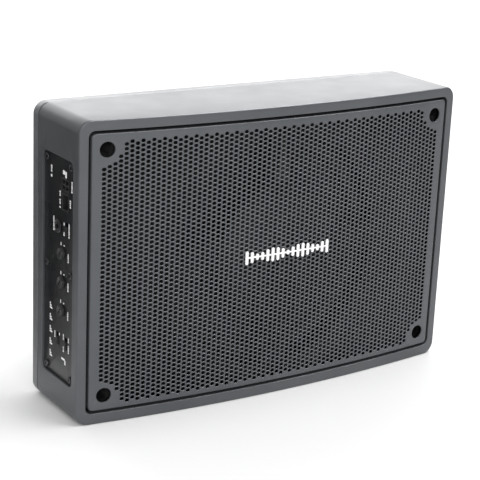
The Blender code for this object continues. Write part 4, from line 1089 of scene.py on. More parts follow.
@dataclass
class Grille:
    """The bowed perforated sheet with its folded rim, and the mark on it."""

    form: Form
    corner: float = 3.5 * MM
    sheet: float = 1.2 * MM
    rim: float = 5.7 * MM
    columns: int = 73
    rows: int = 58
    pitch_x: float = 4.19 * MM
    pitch_z: float = 3.48 * MM
    top_row: float = 6.9 * MM
    half_wide: float = 2.02 * MM
    half_flat: float = 1.05 * MM
    half_tall: float = 1.50 * MM
    lip: float = 0.22 * MM
    lip_deep: float = 0.25 * MM
    left_out: tuple[int, ...] = (5, 5, 4, 3)
    well_columns: int = 4
    well_strips: int = 10
    well_inset: float = 11.8 * MM
    well_radius: float = 5.85 * MM
    well_edge: float = 0.3 * MM
    rounding: int = 5
    bars: int = 17
    bar_share: float = 0.56
    bar_waves: int = 3
    spine: float = 0.6 * MM
    mark_gap: float = 0.25 * MM
    mark_thick: float = 0.85 * MM
    mark_bevel: float = 0.15 * MM

    def __post_init__(self) -> None:
        """Work out the flat face's outline and the lines of the lattice."""
        low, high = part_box("grille")
        self.outline = Outline(high.x, low.z, high.z, self.corner)
        self.face = self.outline.inset(self.sheet)
        half_span = self.columns * self.pitch_x / 2
        edges = np.linspace(-half_span, half_span, self.columns + 1)
        self.x = np.concatenate([[-self.face.half], edges, [self.face.half]])
        top = high.z - self.top_row + self.pitch_z / 2
        lines = top - np.arange(2 * self.rows + 1)[::-1] * self.pitch_z / 2
        self.z = np.concatenate([[self.face.low], lines, [self.face.high]])

    def holes(self) -> tuple[np.ndarray, np.ndarray]:
        """Which holes there are: every second line of each column, staggered between columns.

        Returns:
            The lattice column and the lattice line of each hole's middle.
        """
        column, count = np.meshgrid(np.arange(1, self.columns + 1), np.arange(self.rows), indexing="ij")
        stagger = column % 2
        in_column = self.rows - stagger
        from_side = np.minimum(column, self.columns + 1 - column)
        missing = np.zeros(column.shape, int)
        for place, number in enumerate(self.left_out, 1):
            missing[from_side == place] = number
        kept = (count >= missing) & (count < in_column - missing)
        line = len(self.z) - 2 - 1 - stagger - 2 * count
        return column[kept], line[kept]

    def lattice(self, depth: Depth) -> Points:
        """The lattice's points at a depth, column by column."""
        x, z = np.meshgrid(self.x, self.z, indexing="ij")
        return np.stack([x, depth(x), z], -1).reshape(-1, 3)

    def perforated(self) -> Surface:
        """The sheet with its six-sided holes.

        A hole takes one column and two lines of the lattice. The six points on that cell's edge are
        joined to the hole's six corners, those to a smaller lip a little deeper, and the lip to the
        cell's edge on the back. What has no hole is a plain quad on both faces.

        Returns:
            The points and faces.
        """
        column, line = self.holes()
        tall = len(self.z)
        count = len(self.x) * tall
        rim = np.stack(
            [column * tall + line - 1, (column + 1) * tall + line - 1, (column + 1) * tall + line,
             (column + 1) * tall + line + 1, column * tall + line + 1, column * tall + line], -1
        )
        corners = []
        for inset, deep in ((0.0, 0.0), (self.lip, self.lip_deep)):
            flat_half, wide_half = self.half_flat - inset / 2, self.half_wide - inset
            wide = np.array([-flat_half, flat_half, wide_half, flat_half, -flat_half, -wide_half])
            high = np.array([-1, -1, 0, 1, 1, 0]) * (self.half_tall - inset)
            x = (self.x[column] + self.x[column + 1])[:, None] / 2 + wide
            z = self.z[line][:, None] + high
            corners.append(np.stack([x, self.form.front(deep)(x), z], -1).reshape(-1, 3))
        hole = 2 * count + np.arange(x.size).reshape(x.shape)
        lip = hole + x.size
        sides = [self.lattice(self.form.front(gap)) for gap in (0.0, self.sheet)]
        loops = (rim, hole, lip, rim + count)
        faces = [joined_loops(first, second) for first, second in zip(loops, loops[1:])]
        i, j = np.nonzero(self.plain_cells(column, line))
        cell = np.stack([i * tall + j, (i + 1) * tall + j, (i + 1) * tall + j + 1, i * tall + j + 1], -1)
        return np.vstack([*sides, *corners]), [*faces, cell, cell[:, ::-1] + count]

    def plain_cells(self, column: np.ndarray, line: np.ndarray) -> np.ndarray:
        """Which cells of the lattice hold neither a hole nor a screw well's patch.

        Args:
            column: the lattice column of each hole.
            line: the lattice line of each hole's middle.

        Returns:
            True for each plain cell.
        """
        plain = np.ones((len(self.x) - 1, len(self.z) - 1), bool)
        plain[column, line] = False
        plain[column, line - 1] = False
        wide, tall = self.well_columns, self.well_strips
        for across in (slice(None, wide), slice(-wide, None)):
            for up in (slice(None, tall), slice(-tall, None)):
                plain[across, up] = False
        return plain

    def well_patch(self, side: int, up: int) -> Surface:
        """The plain corner round one screw well.

        The patch's edge is joined to the circle by rays from the well's centre. The circle has a
        small rounded edge, and its wall goes through to the back.

        Args:
            side: -1 for the left wells, 1 for the right ones.
            up: -1 for the lower wells, 1 for the upper ones.

        Returns:
            The points and faces.
        """
        wide, tall, r = self.well_columns, self.well_strips, self.face.radius
        x = self.x[: wide + 1] if side < 0 else self.x[::-1][: wide + 1]
        z = self.z[::-1][: tall + 1] if up > 0 else self.z[: tall + 1]
        a = np.linspace(0, QUARTER, 6)
        arc = np.stack([x[0] - side * r * (1 - np.sin(a)), z[0] - up * r * (1 - np.cos(a))], -1)
        edge = np.vstack([
            np.stack([x[wide:0:-1], np.full(wide, z[0])], -1), arc,
            np.stack([np.full(tall, x[0]), z[1:]], -1),
            np.stack([x[1:], np.full(wide, z[tall])], -1),
            np.stack([np.full(tall - 1, x[wide]), z[tall - 1 : 0 : -1]], -1),
        ])
        high = self.outline.high if up > 0 else self.outline.low
        centre = np.array([side * (self.outline.half - self.well_inset), high - up * self.well_inset])
        ray = edge - centre
        ray /= np.linalg.norm(ray, axis=1, keepdims=True)
        loops = [edge]
        rounding = np.linspace(0, QUARTER, 4)
        radii = self.well_radius + self.well_edge * (1 - np.sin(rounding))
        loops += [centre + ray * radius for radius in (*radii, self.well_radius)] + [edge]
        gaps = [0.0, *(self.well_edge * (1 - np.cos(rounding))), self.sheet, self.sheet]
        rings = [bowed(loop, self.form.front(gap)) for loop, gap in zip(loops, gaps)]
        if side * up > 0:
            rings = [points[::-1] for points in rings]
        return np.vstack(rings), [grid_faces(len(rings), len(edge), False, True)]

    def border(self) -> tuple[Points, Points]:
        """The flat face's own edge points, counter-clockwise, and the way out at each.

        Returns:
            The (n, 2) points and the (n, 2) ways out.
        """
        x, z, face, r = self.x[1:-1], self.z[1:-1], self.face, self.face.radius
        a = np.linspace(0, QUARTER, 6)
        spots, ways = [], []
        sides = (
            ((face.half, None), z, (1, 0)), ((None, face.high), x[::-1], (0, 1)),
            ((-face.half, None), z[::-1], (-1, 0)), ((None, face.low), x, (0, -1)),
        )
        centres = ((1, 1), (-1, 1), (-1, -1), (1, -1))
        for quarter, ((fixed_x, fixed_z), run, way) in enumerate(sides):
            across = np.full(len(run), fixed_x) if fixed_z is None else run
            up = np.full(len(run), fixed_z) if fixed_x is None else run
            spots.append(np.stack([across, up], -1))
            ways.append(np.tile(np.array(way, float), (len(run), 1)))
            angle = a + quarter * QUARTER
            out = np.stack([np.cos(angle), np.sin(angle)], -1)
            sign_x, sign_z = centres[quarter]
            high = face.high - r if sign_z > 0 else face.low + r
            spots.append(np.array([sign_x * (face.half - r), high]) + r * out)
            ways.append(out)
        return np.vstack(spots), np.vstack(ways)

    def folded_rim(self) -> Surface:
        """The rim: a quarter-round fold out from the flat face, then a wall straight back.

        Returns:
            The points and faces.
        """
        spots, ways = self.border()
        a = np.linspace(0, QUARTER, self.rounding + 1)
        stops = [(self.sheet * math.sin(t), self.sheet * (1 - math.cos(t))) for t in a]
        stops += [(self.sheet, 0.5 * self.rim), (self.sheet, self.rim), (0.0, self.rim), (0.0, self.sheet)]
        rings = [bowed(spots + ways * out, self.form.front(gap)) for out, gap in stops]
        faces = grid_faces(len(rings), len(spots), False, True)
        return np.vstack(rings), [faces[:, ::-1]]

    def build(self) -> None:
        """Make the sheet and its mark."""
        patches = [self.well_patch(side, up) for side in (-1, 1) for up in (-1, 1)]
        surface = merged(self.perforated(), self.folded_rim(), *patches)
        place_surface("perforated_sheet", surface, SHEET, "grille")
        self.make_mark()

    def make_mark(self) -> None:
        """The mark: upright level bars with round ends, of changing height, on one thin line.

        A bar's outline is two half circles joined by straight sides, inset a little on top.
        """
        low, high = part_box("grille_badge")
        pitch = (high.x - low.x) / self.bars
        half, middle_z = pitch * self.bar_share / 2, (low.z + high.z) / 2
        number = np.arange(self.bars) + 0.5
        reach = 0.34 + 0.66 * np.abs(np.cos(math.pi * self.bar_waves * number / self.bars))
        straight = np.maximum((high.z - low.z) / 2 * reach - half, self.spine)
        angle = np.linspace(0, 2 * math.pi, 20, endpoint=False)
        ends = np.stack([np.cos(angle), np.sin(angle)], -1)
        lift = np.where(np.sin(angle) >= 0, 1.0, -1.0)
        face, bevel = -self.mark_gap - self.mark_thick, self.mark_bevel
        layers = [(0.0, -self.mark_gap), (0.0, face + bevel), (bevel, face)]
        parts = []
        for x, rise in zip(low.x + number * pitch, straight):
            centre = np.stack([np.full(20, x), middle_z + lift * rise], -1)
            rings = [bowed(centre + (half - inset) * ends, self.form.front(out)) for inset, out in layers]
            parts.append(tube_of(rings, loop=False))
        run = np.linspace(low.x + pitch / 2, high.x - pitch / 2, 33)
        path, sides = np.concatenate([run, run[::-1]]), np.repeat([-1.0, 1.0], 33)
        rings = []
        for inset, out in layers:
            spots = np.stack([path, middle_z + sides * (self.spine - inset)], -1)
            rings.append(bowed(spots, self.form.front(out * 0.99)))
        parts.append(tube_of(rings, loop=False))
        place_surface("level_mark", merged(*parts), MARK, "grille_badge")


# ---------------------------------------------------------------- control panel


class Mark(Enum):
    """The kinds of print on the panel."""

    CAPTION = "caption"
    BLOCK = "block"


@dataclass(frozen=True)
class Print:
    """One print: its kind, its middle from the panel's centre along Y and Z, and its size."""

    kind: Mark
    y: float
    z: float
    wide: float
    tall: float


@dataclass
class ControlPanel:
    """The sunk panel with its prints, sockets, jack, knobs, switches and screws."""

    edge: float = 0.35 * MM
    corner: float = 4.7 * MM
    fit: float = 0.3 * MM
    slider_fit: float = 0.5 * MM
    slider_reach: float = 3.2 * MM
    jack_hole: float = 3.9 * MM
    shaft_hole: float = 3.0 * MM
    screw_hole: float = 1.4 * MM
    cut_past: float = 5.0 * MM
    print_height: float = 0.06 * MM
    stroke_pitch: float = 1.45
    stroke_half: float = 0.36
    short_stroke: float = 0.72
    knob_edge: float = 0.4 * MM
    slot_wide: float = 1.2 * MM
    slot_deep: float = 0.8 * MM
    under_slot: float = 0.6 * MM
    slot_angle: float = 40.0
    knob_bore: float = 3.3 * MM
    knob_dish: float = 0.12 * MM
    flutes: int = 18
    flute_radius: float = 0.42 * MM
    steps: int = 72
    knobs: tuple[str, ...] = ("level", "crossover", "boost")
    switches: tuple[str, ...] = ("phase", "filter", "input")
    prints: tuple[Print, ...] = field(
        default=(
            Print(Mark.CAPTION, 13.6, 73.0, 2.2, 5.4),
            Print(Mark.BLOCK, 13.6, 67.6, 2.0, 1.8),
            Print(Mark.BLOCK, -6.6, 74.6, 3.2, 3.0),
            Print(Mark.BLOCK, -9.8, 73.4, 2.2, 4.6),
            Print(Mark.CAPTION, -19.4, 66.5, 1.9, 8.6),
            Print(Mark.CAPTION, -17.0, 53.4, 1.9, 6.2),
            Print(Mark.CAPTION, -0.6, 57.6, 1.9, 4.2),
            Print(Mark.CAPTION, -0.6, 51.6, 1.9, 4.0),
            Print(Mark.BLOCK, -0.6, 47.4, 1.6, 1.4),
            Print(Mark.CAPTION, 9.4, 32.6, 1.9, 11.4),
            Print(Mark.CAPTION, 7.2, 31.4, 1.5, 7.0),
            Print(Mark.BLOCK, -7.4, 36.2, 1.4, 2.2),
            Print(Mark.BLOCK, -7.4, 28.6, 1.4, 2.8),
            Print(Mark.CAPTION, -15.4, 32.9, 1.8, 11.0),
            Print(Mark.CAPTION, 6.6, -53.2, 1.5, 5.4),
            Print(Mark.BLOCK, -0.9, -51.0, 1.1, 2.0),
            Print(Mark.CAPTION, -7.6, -51.0, 1.5, 4.6),
            Print(Mark.CAPTION, -7.6, -60.6, 1.5, 4.6),
            Print(Mark.CAPTION, -15.9, -51.2, 1.7, 3.8),
            Print(Mark.CAPTION, -15.9, -58.4, 1.7, 6.6),
            Print(Mark.BLOCK, -7.2, -68.6, 5.4, 1.6),
            Print(Mark.BLOCK, -10.4, -70.6, 1.6, 3.6),
        )
    )
    scale_places: tuple[float, ...] = (-32.6, -41.8, -51.4, -61.2, -70.6)
    sign_strokes: tuple[tuple[float, float], ...] = ((-1.7, 1.6), (0.1, 2.9), (1.9, 4.2))
    sign_edge: float = 15.4 * MM
    sign_half: float = 0.62 * MM

    def __post_init__(self) -> None:
        """Find the panel's face and centre."""
        low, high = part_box("control_panel")
        self.face, self.back = low.x, high.x
        self.centre = (low + high) / 2
        self.size = high - low

    def make_plate(self) -> None:
        """The plate: round-cornered outline with an eased edge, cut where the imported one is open."""
        half, reach = self.size.y / 2, self.size.z / 2
        outline = Outline(half, self.centre.z - reach, self.centre.z + reach, self.corner)
        stops = [(0.0, self.back)]
        stops += [(inset, self.face + deep) for inset, deep in quarter_round(self.edge, 5)]
        rings = [standing(outline.inset(inset), x, self.centre.y) for inset, x in stops]
        mesh = combine(helper("plate", tube_of(rings, loop=False)), self.openings(), "DIFFERENCE")
        Piece("panel_plate", mesh, PANEL, stands_for=("control_panel",)).place()

    def openings(self) -> list[bpy.types.Object]:
        """The cutters for what goes through the plate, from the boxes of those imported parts.

        Returns:
            The cutters.
        """
        sockets = ("power_connector", "input_connector")
        cutters = [self.square_hole(node, *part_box(node), self.fit) for node in sockets]
        for name in self.switches:
            low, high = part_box(f"{name}_switch_slider")
            low.z, high.z = low.z - self.fit, high.z + self.slider_reach
            cutters.append(self.square_hole(name, low, high, self.slider_fit))
        round_parts = {"remote_jack": self.jack_hole}
        round_parts |= {f"{name}_shaft": self.shaft_hole for name in self.knobs}
        round_parts |= {f"panel_screw_{number}": self.screw_hole for number in range(1, 7)}
        top, foot = self.cut_past - self.face, -self.cut_past - self.back
        for node, radius in round_parts.items():
            centre, wide = middle(node), radius + self.fit
            centre.x = 0.0
            profile = np.array([(0.0, top), (wide, top), (wide, foot), (0.0, foot)])
            cutters.append(helper(f"hole_{node}", turned(profile, 40, centre, "-X", closed=False)))
        return cutters

    def square_hole(self, name: str, low: Vector, high: Vector, fit: float) -> bpy.types.Object:
        """A cutter through the plate round a box, with a fit on each side.

        Args:
            name: what goes through.
            low: the box's lowest corner.
            high: its highest corner.
            fit: the room on each side.

        Returns:
            The cutter.
        """
        near = np.array([[self.face - self.cut_past, low.y - fit, low.z - fit]])
        far = np.array([[self.back + self.cut_past, high.y + fit, high.z + fit]])
        return helper(f"hole_{name}", boxes(near, far))

    def caption(self, item: Print) -> tuple[Points, Points]:
        """A caption: a column of short strokes with gaps, each a box as (low, high) in Y and Z.

        Args:
            item: the print.

        Returns:
            The (n, 2) lowest and highest corners of its strokes.
        """
        if item.kind is not Mark.CAPTION:
            spot = np.array([[item.y, item.z]]) * MM
            half = np.array([[item.wide, item.tall]]) * MM / 2
            return spot - half, spot + half
        count = max(2, round(item.tall / self.stroke_pitch))
        pitch = item.tall / count
        along = item.z - item.tall / 2 + (np.arange(count) + 0.5) * pitch
        middle_stroke = np.stack([np.full(count, item.y), along], -1)
        half = np.full((count, 2), (item.wide / 2, pitch * self.stroke_half))
        half[1::3, 0] *= self.short_stroke
        return (middle_stroke - half) * MM, (middle_stroke + half) * MM

    def dial_marks(self, node: str) -> tuple[Points, Points]:
        """Two marks at the ends of a knob's travel, above it, one longer than the other.

        Args:
            node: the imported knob.

        Returns:
            The lowest and highest corners of both marks.
        """
        centre = middle(node)
        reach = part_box(node)[1].z - centre.z
        place = np.array([centre.y - self.centre.y, centre.z - self.centre.z + reach])
        spot = place + np.array([[2.6, 2.4], [-2.4, 2.2]]) * MM
        half = np.array([[0.5, 1.3], [0.8, 0.5]]) * MM
        return spot - half, spot + half

    def ladder(self) -> tuple[Points, Points]:
        """Five level signs in a column, each of three strokes that grow from the top down.

        Returns:
            The lowest and highest corners of the strokes.
        """
        count, strokes = len(self.scale_places), len(self.sign_strokes)
        drop, wide = (np.tile(row, count) * MM for row in zip(*self.sign_strokes))
        z = np.repeat(np.array(self.scale_places), strokes) * MM - drop
        spot = np.stack([self.sign_edge - wide / 2, z], -1)
        half = np.stack([wide / 2, np.full(strokes * count, self.sign_half)], -1)
        return spot - half, spot + half

    def make_prints(self) -> None:
        """Every print on the panel, as thin raised boxes in one piece."""
        groups = [self.caption(item) for item in self.prints]
        groups += [self.dial_marks(f"{name}_knob") for name in self.knobs]
        for name in self.knobs:
            z = (middle(f"{name}_knob").z - self.centre.z) / MM
            groups.append(self.caption(Print(Mark.CAPTION, -14.4, z - 1.4, 1.7, 7.0)))
        groups.append(self.ladder())
        low, high = (np.vstack(corners) + np.array(self.centre)[1:] for corners in zip(*groups))
        near = np.insert(low, 0, self.face - self.print_height, 1)
        far = np.insert(high, 0, self.face - 0.005 * MM, 1)
        mesh = make_mesh("panel_prints", boxes(near, far))
        Piece("panel_prints", mesh, MARK).place()

    def make_knob(self, name: str) -> None:
        """A knob: an eased cup turned about its shaft, with a slot cut across its face.

        Args:
            name: which knob.
        """
        node = f"{name}_knob"
        low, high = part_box(node)
        centre = (low + high) / 2
        centre.x = high.x
        radius, height = (high.z - low.z) / 2, high.x - low.x
        rim = [(radius * 0.86, height), (radius * 0.98, height), (radius, 0.35 * height), (radius, 0.0)]
        cup = soften(rim, self.knob_edge, 5, False)
        dish = height - self.knob_dish
        face = np.array([(0.0, dish - 0.03 * MM), (radius * 0.80, dish)])
        roof = height - self.slot_deep - self.under_slot
        inside = np.array([(self.knob_bore, 0.0), (self.knob_bore, roof), (0.0, roof)])
        profile = np.vstack([face, cup, inside])
        knob = helper(f"{node}_turned", turned(profile, self.steps, centre, "-X", closed=False))
        cutters = [cut(centre, radius, height) for cut in (self.flute_cutters, self.slot_cutter)]
        mesh = combine(knob, cutters, "DIFFERENCE")
        Piece(f"{node}_slotted", mesh, KNOB, body=f"{name}_dial", stands_for=(node,)).place()

    def slot_cutter(self, centre: Vector, radius: float, height: float) -> bpy.types.Object:
        """A bar across the knob's face, turned by the slot's angle.

        Args:
            centre: the knob's foot, on its axis.
            radius: its radius.
            height: its height.

        Returns:
            The bar.
        """
        half, reach = self.slot_wide / 2, radius * 0.82
        low = np.array([[-height - 2 * MM, -half, -reach]])
        high = np.array([[-height + self.slot_deep, half, reach]])
        points, faces = boxes(low, high)
        a = math.radians(self.slot_angle)
        turn = np.array([[1, 0, 0], [0, math.cos(a), -math.sin(a)], [0, math.sin(a), math.cos(a)]])
        return helper("knob_slot", (points @ turn.T + np.array(centre), faces))

    def flute_cutters(self, centre: Vector, radius: float, height: float) -> bpy.types.Object:
        """Shallow upright grooves round the knob's side: round rods on a circle just outside it.

        Args:
            centre: the knob's foot, on its axis.
            radius: its radius.
            height: its height.

        Returns:
            The rods as one cutter.
        """
        rod, top, foot = self.flute_radius, 0.62 * height, 0.12 * height
        profile = np.array([(0.0, top), (rod, top), (rod, foot), (0.0, foot)])
        parts = []
        for angle in np.linspace(0, 2 * math.pi, self.flutes, endpoint=False):
            way = Vector((0.0, math.sin(angle), math.cos(angle)))
            place = centre + way * (radius + 0.2 * MM)
            parts.append(turned(profile, 8, place, "-X", closed=False))
        return helper("knob_flutes", merged(*parts))

    def make_jack(self) -> None:
        """The jack's nut, sleeve and bore: one turned profile with eased edges."""
        low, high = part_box("remote_jack")
        centre = (low + high) / 2
        centre.x = self.face
        top, back = (self.face - low.x) / MM, (self.face - high.x) / MM
        bore, step, nut, sleeve = 1.9, 3.2, 5.0, 3.85
        corners = [
            (0.0, top - 8.8), (bore, top - 8.8), (bore, top - 0.3), (2.5, top), (step, top),
            (step, top - 0.35), (4.0, top - 0.35), (nut, top - 0.7), (nut, 0.3), (sleeve, 0.3),
            (sleeve, back), (0.0, back),
        ]
        profile = soften(np.array(corners) * MM, 0.15 * MM, 3, closed=False)
        surface = turned(profile, self.steps, centre, "-X", closed=False)
        place_surface("jack_sleeve", surface, DARK_STEEL, "remote_jack")

    def build(self) -> None:
        """Make the plate and all that it carries."""
        self.make_plate()
        self.make_prints()
        screw = ScrewForm(DARK_STEEL, Facing.LEFT, 1.4 * MM, 0.54)
        for number in range(1, 7):
            screw.stand_for(f"panel_screw_{number}")
        for name in self.knobs:
            self.make_knob(name)
            dress(f"{name}_shaft", STEEL)
            dress(f"{name}_potentiometer", BLACK, 0.3 * MM)
        for name in self.switches:
            dress(f"{name}_switch_slider", BLACK, 0.15 * MM)
            dress(f"{name}_switch_body", BLACK, 0.3 * MM)
        self.make_jack()
        for node in ("power_connector", "input_connector"):
            dress(node, BLACK, 0.15 * MM)


# ---------------------------------------------------------------- driver and amplifier


@dataclass
class Driver:
    """The loudspeaker behind the guard: what moves, the soft rings that carry it, and its motor."""

    steps: int = 128
    roll_steps: int = 24
    roll_inner: float = 80.6 * MM
    roll_outer: float = 91.0 * MM
    roll_foot: float = 95.2 * MM
    roll_y: float = -18.9 * MM
    roll_height: float = 6.5 * MM
    roll_sheet: float = 0.8 * MM
    waves: int = 4
    wave_height: float = 1.1 * MM
    spider_inner: float = 25.9 * MM
    spider_outer: float = 58.4 * MM
    spider_foot: float = 61.5 * MM
    spider_still: float = 59.0 * MM
    spider_sheet: float = 0.5 * MM
    cone_neck: tuple[float, float] = (26.0 * MM, -2.6 * MM)
    cone_run: tuple[float, float] = (53.5 * MM, -15.3 * MM)
    cone_sheet: float = 0.9 * MM
    rib_height: float = 0.35 * MM
    rib_places: tuple[float, ...] = (0.35, 0.55, 0.75)
    cap_radius: float = 33.0 * MM
    cap_sheet: float = 0.8 * MM
    coil_inner: float = 25.7 * MM
    coil_wires: int = 48
    pole_radius: float = 24.2 * MM
    yoke_plate: float = 5.0 * MM

    def __post_init__(self) -> None:
        """The driver's axis is that of its cap."""
        self.centre = middle("dust_cap")
        self.centre.y = 0.0

    def spin(self, name: str, profile: Points, finish: Finish, node: str, body: str | None = "cabinet",
             closed: bool = True) -> bpy.types.Object:
        """Turn a profile about the driver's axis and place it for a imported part."""
        mesh = make_mesh(name, turned(profile, self.steps, self.centre, "Y", closed))
        return Piece(name, mesh, finish, body=body, stands_for=(node,)).place()

    def flex(self, obj: bpy.types.Object) -> None:
        """Bake the ring's placement into its mesh and read its points into an array that nothing uses
        further.

        Args:
            obj: the ring.
        """
        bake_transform(obj)
        points = np.zeros(len(obj.data.vertices) * 3)
        obj.data.vertices.foreach_get("co", points)

    def make_surround(self) -> None:
        """The surround: a half roll between the cone's edge and a flat foot.

        Radius = middle - half cos(t), height = foot - rise sin(t), for t from 0 to half a turn.
        """
        t = np.linspace(0, math.pi, self.roll_steps + 1)
        mid, half = (self.roll_inner + self.roll_outer) / 2, (self.roll_outer - self.roll_inner) / 2
        roll = np.stack([mid - half * np.cos(t), self.roll_y - self.roll_height * np.sin(t)], -1)
        foot = np.linspace(self.roll_outer + 1 * MM, self.roll_foot, 4)
        line = np.vstack([roll, np.stack([foot, np.full(4, self.roll_y)], -1)])
        mesh = make_mesh("roll_surround", turned(band(line, self.roll_sheet), self.steps, self.centre, "Y"))
        obj = Piece("roll_surround", mesh, RUBBER, body=None, stands_for=("surround",)).place()
        self.flex(obj)

    def make_spider(self) -> None:
        """The spider: a sheet with ring waves whose height fades towards both of its edges.

        Height = rise sin(2 pi n s) sin(pi s)^0.5, for s from the outer edge to the inner.
        """
        low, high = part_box("spider")
        foot, y = high.z - self.centre.z, (low.y + high.y) / 2
        s = np.linspace(0, 1, self.waves * 12 + 1)
        wave = self.wave_height * np.sin(2 * math.pi * self.waves * s) * np.sqrt(np.sin(math.pi * s))
        radius = self.spider_outer + (self.spider_inner - self.spider_outer) * s
        waved = np.stack([radius, y + np.nan_to_num(wave)], -1)
        profile = band(np.vstack([[(foot, y), (self.spider_foot, y)], waved]), self.spider_sheet)
        mesh = make_mesh("waved_spider", turned(profile, self.steps, self.centre, "Y"))
        obj = Piece("waved_spider", mesh, CLOTH, body=None, stands_for=("spider",)).place()
        self.flex(obj)

    def make_cone(self) -> None:
        """The cone, straight from neck to edge with three shallow ring ribs, and its domed cap."""
        s = np.linspace(0, 1, 60)[:, None]
        rib = self.rib_height * np.exp(-(((s - np.array(self.rib_places)) / 0.02) ** 2)).sum(1)
        line = np.array(self.cone_neck) + s * np.array(self.cone_run)
        line[:, 1] -= rib
        self.spin("paper_cone", band(line, self.cone_sheet), PAPER, "cone", "cone_assembly")
        low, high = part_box("dust_cap")
        r, sheet = np.linspace(0, 1, 30), self.cap_sheet
        dome = np.stack([self.cap_radius * r, low.y + (high.y - low.y - sheet) * r**2], -1)
        profile = np.vstack([dome, (dome + (0, sheet))[::-1]])
        self.spin("domed_cap", profile, PAPER, "dust_cap", "cone_assembly", closed=False)

    def block(self, node: str, inner: float, ease: float, finish: Finish, body: str = "cabinet") -> None:
        """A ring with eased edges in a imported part's box, down to an inner radius.

        Args:
            node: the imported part.
            inner: the ring's inner radius.
            ease: how far its edges are eased.
            finish: its finish.
            body: the body that it rides on.
        """
        low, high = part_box(node)
        outer = high.z - self.centre.z
        corners = [(inner, low.y), (outer, low.y), (outer, high.y), (inner, high.y)]
        self.spin(f"{node}_turned", soften(corners, ease), finish, node, body)

    def make_motor(self) -> None:
        """The magnet between its plates, the yoke with its pole, and the coil on its former."""
        self.block("top_plate", 27.4 * MM, 0.5 * MM, STEEL)
        self.block("magnet", 31.0 * MM, 1.2 * MM, FERRITE)
        self.block("coil_former", 24.9 * MM, 0.1 * MM, ALUMINIUM, "cone_assembly")
        low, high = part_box("voice_coil")
        inner, outer, count = self.coil_inner, high.z - self.centre.z, 2 * self.coil_wires + 1
        wire = outer - 0.12 * MM * (1 + np.cos(np.arange(count) * math.pi)) / 2
        winding = np.stack([wire, np.linspace(low.y, high.y, count)], -1)
        profile = np.vstack([[(inner, high.y), (inner, low.y)], winding])
        self.spin("coil_winding", profile, COPPER, "voice_coil", "cone_assembly")
        low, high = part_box("pole_yoke")
        radius, pole, inside = high.z - self.centre.z, self.pole_radius, high.y - self.yoke_plate
        corners = [
            (0.0, high.y), (radius, high.y), (radius, inside), (pole, inside), (pole, low.y), (0.0, low.y),
        ]
        profile = soften(corners, 0.8 * MM, 4, closed=False)
        self.spin("pole_and_yoke", profile, STEEL, "pole_yoke", closed=False)

    def build(self) -> None:
        """Make the driver's turned pieces and dress what stays."""
        self.make_surround()
        self.make_spider()
        self.make_cone()
        self.make_motor()
        dress("driver_basket", DARK_STEEL)
        dress("driver_gasket", RUBBER)
        dress("driver_terminal", BLACK, 0.2 * MM)
        screw = ScrewForm(STEEL, Facing.BACK, 2.2 * MM, 0.56)
        for number in range(1, 5):
            screw.stand_for(f"driver_screw_{number}")


@dataclass
class Amplifier:
    """The board behind the panel and the parts on it."""

    wire: float = 0.55 * MM
    turns: int = 30
    steps_along: int = 1080
    steps_round: int = 6

    def make_capacitor(self, node: str) -> None:
        """A can with a crimped foot and a scored top, turned about X.

        Args:
            node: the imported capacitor.
        """
        low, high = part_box(node)
        centre = (low + high) / 2
        centre.x = high.x
        r, tall = (high.z - low.z) / 2, high.x - low.x
        corners = [
            (0.0, 0.0), (0.82 * r, 0.0), (0.84 * r, -0.3 * MM), (0.88 * r, 0.0), (r, -0.6 * MM),
            (r, -0.78 * tall), (0.93 * r, -0.82 * tall), (r, -0.86 * tall), (r, -tall), (0.0, -tall),
        ]
        profile = soften(corners, 0.3 * MM, 3, closed=False)
        place_surface(f"{node}_can", turned(profile, 48, centre, "-X", closed=False), BLACK, node)

    def make_inductor(self) -> None:
        """A wire wound round a ring.

        Point(u, v): the wire's line goes once round the ring while it turns n times round its
        section, and the wire is a small circle about that line.
        """
        low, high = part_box("inductor")
        section = (high.x - low.x) / 2
        radius = (high.z - low.z) / 2 - section
        u = np.linspace(0, 2 * math.pi, self.steps_along, endpoint=False)[:, None]
        v = np.linspace(0, 2 * math.pi, self.steps_round, endpoint=False)[:, None]
        out = np.hstack([np.zeros_like(u), np.cos(u), np.sin(u)])
        wound = np.cos(self.turns * u) * out + np.sin(self.turns * u) * np.array([1.0, 0.0, 0.0])
        line = radius * out + (section - self.wire) * wound
        tangent = np.roll(line, -1, 0) - np.roll(line, 1, 0)
        tangent /= np.linalg.norm(tangent, axis=1, keepdims=True)
        side = np.cross(tangent, wound)
        skin = line[:, None] + self.wire * (np.cos(v) * wound[:, None] + np.sin(v) * side[:, None])
        points = (skin + np.array((low + high) / 2)).reshape(-1, 3)
        surface = (points, [grid_faces(len(u), len(v), True, True)])
        place_surface("wound_inductor", surface, COPPER, "inductor")

    def build(self) -> None:
        """Make the turned parts and dress the rest."""
        for number in (1, 2):
            self.make_capacitor(f"capacitor_{number}")
            dress(f"transistor_{number}", BLACK, 0.3 * MM)
        self.make_inductor()
        dress("amplifier_board", BOARD, 0.2 * MM)
        dress("heat_sink", ALUMINIUM, 0.25 * MM)
        dress("speaker_lead_positive", RED)
        dress("speaker_lead_negative", BLACK)


# ---------------------------------------------------------------- studio


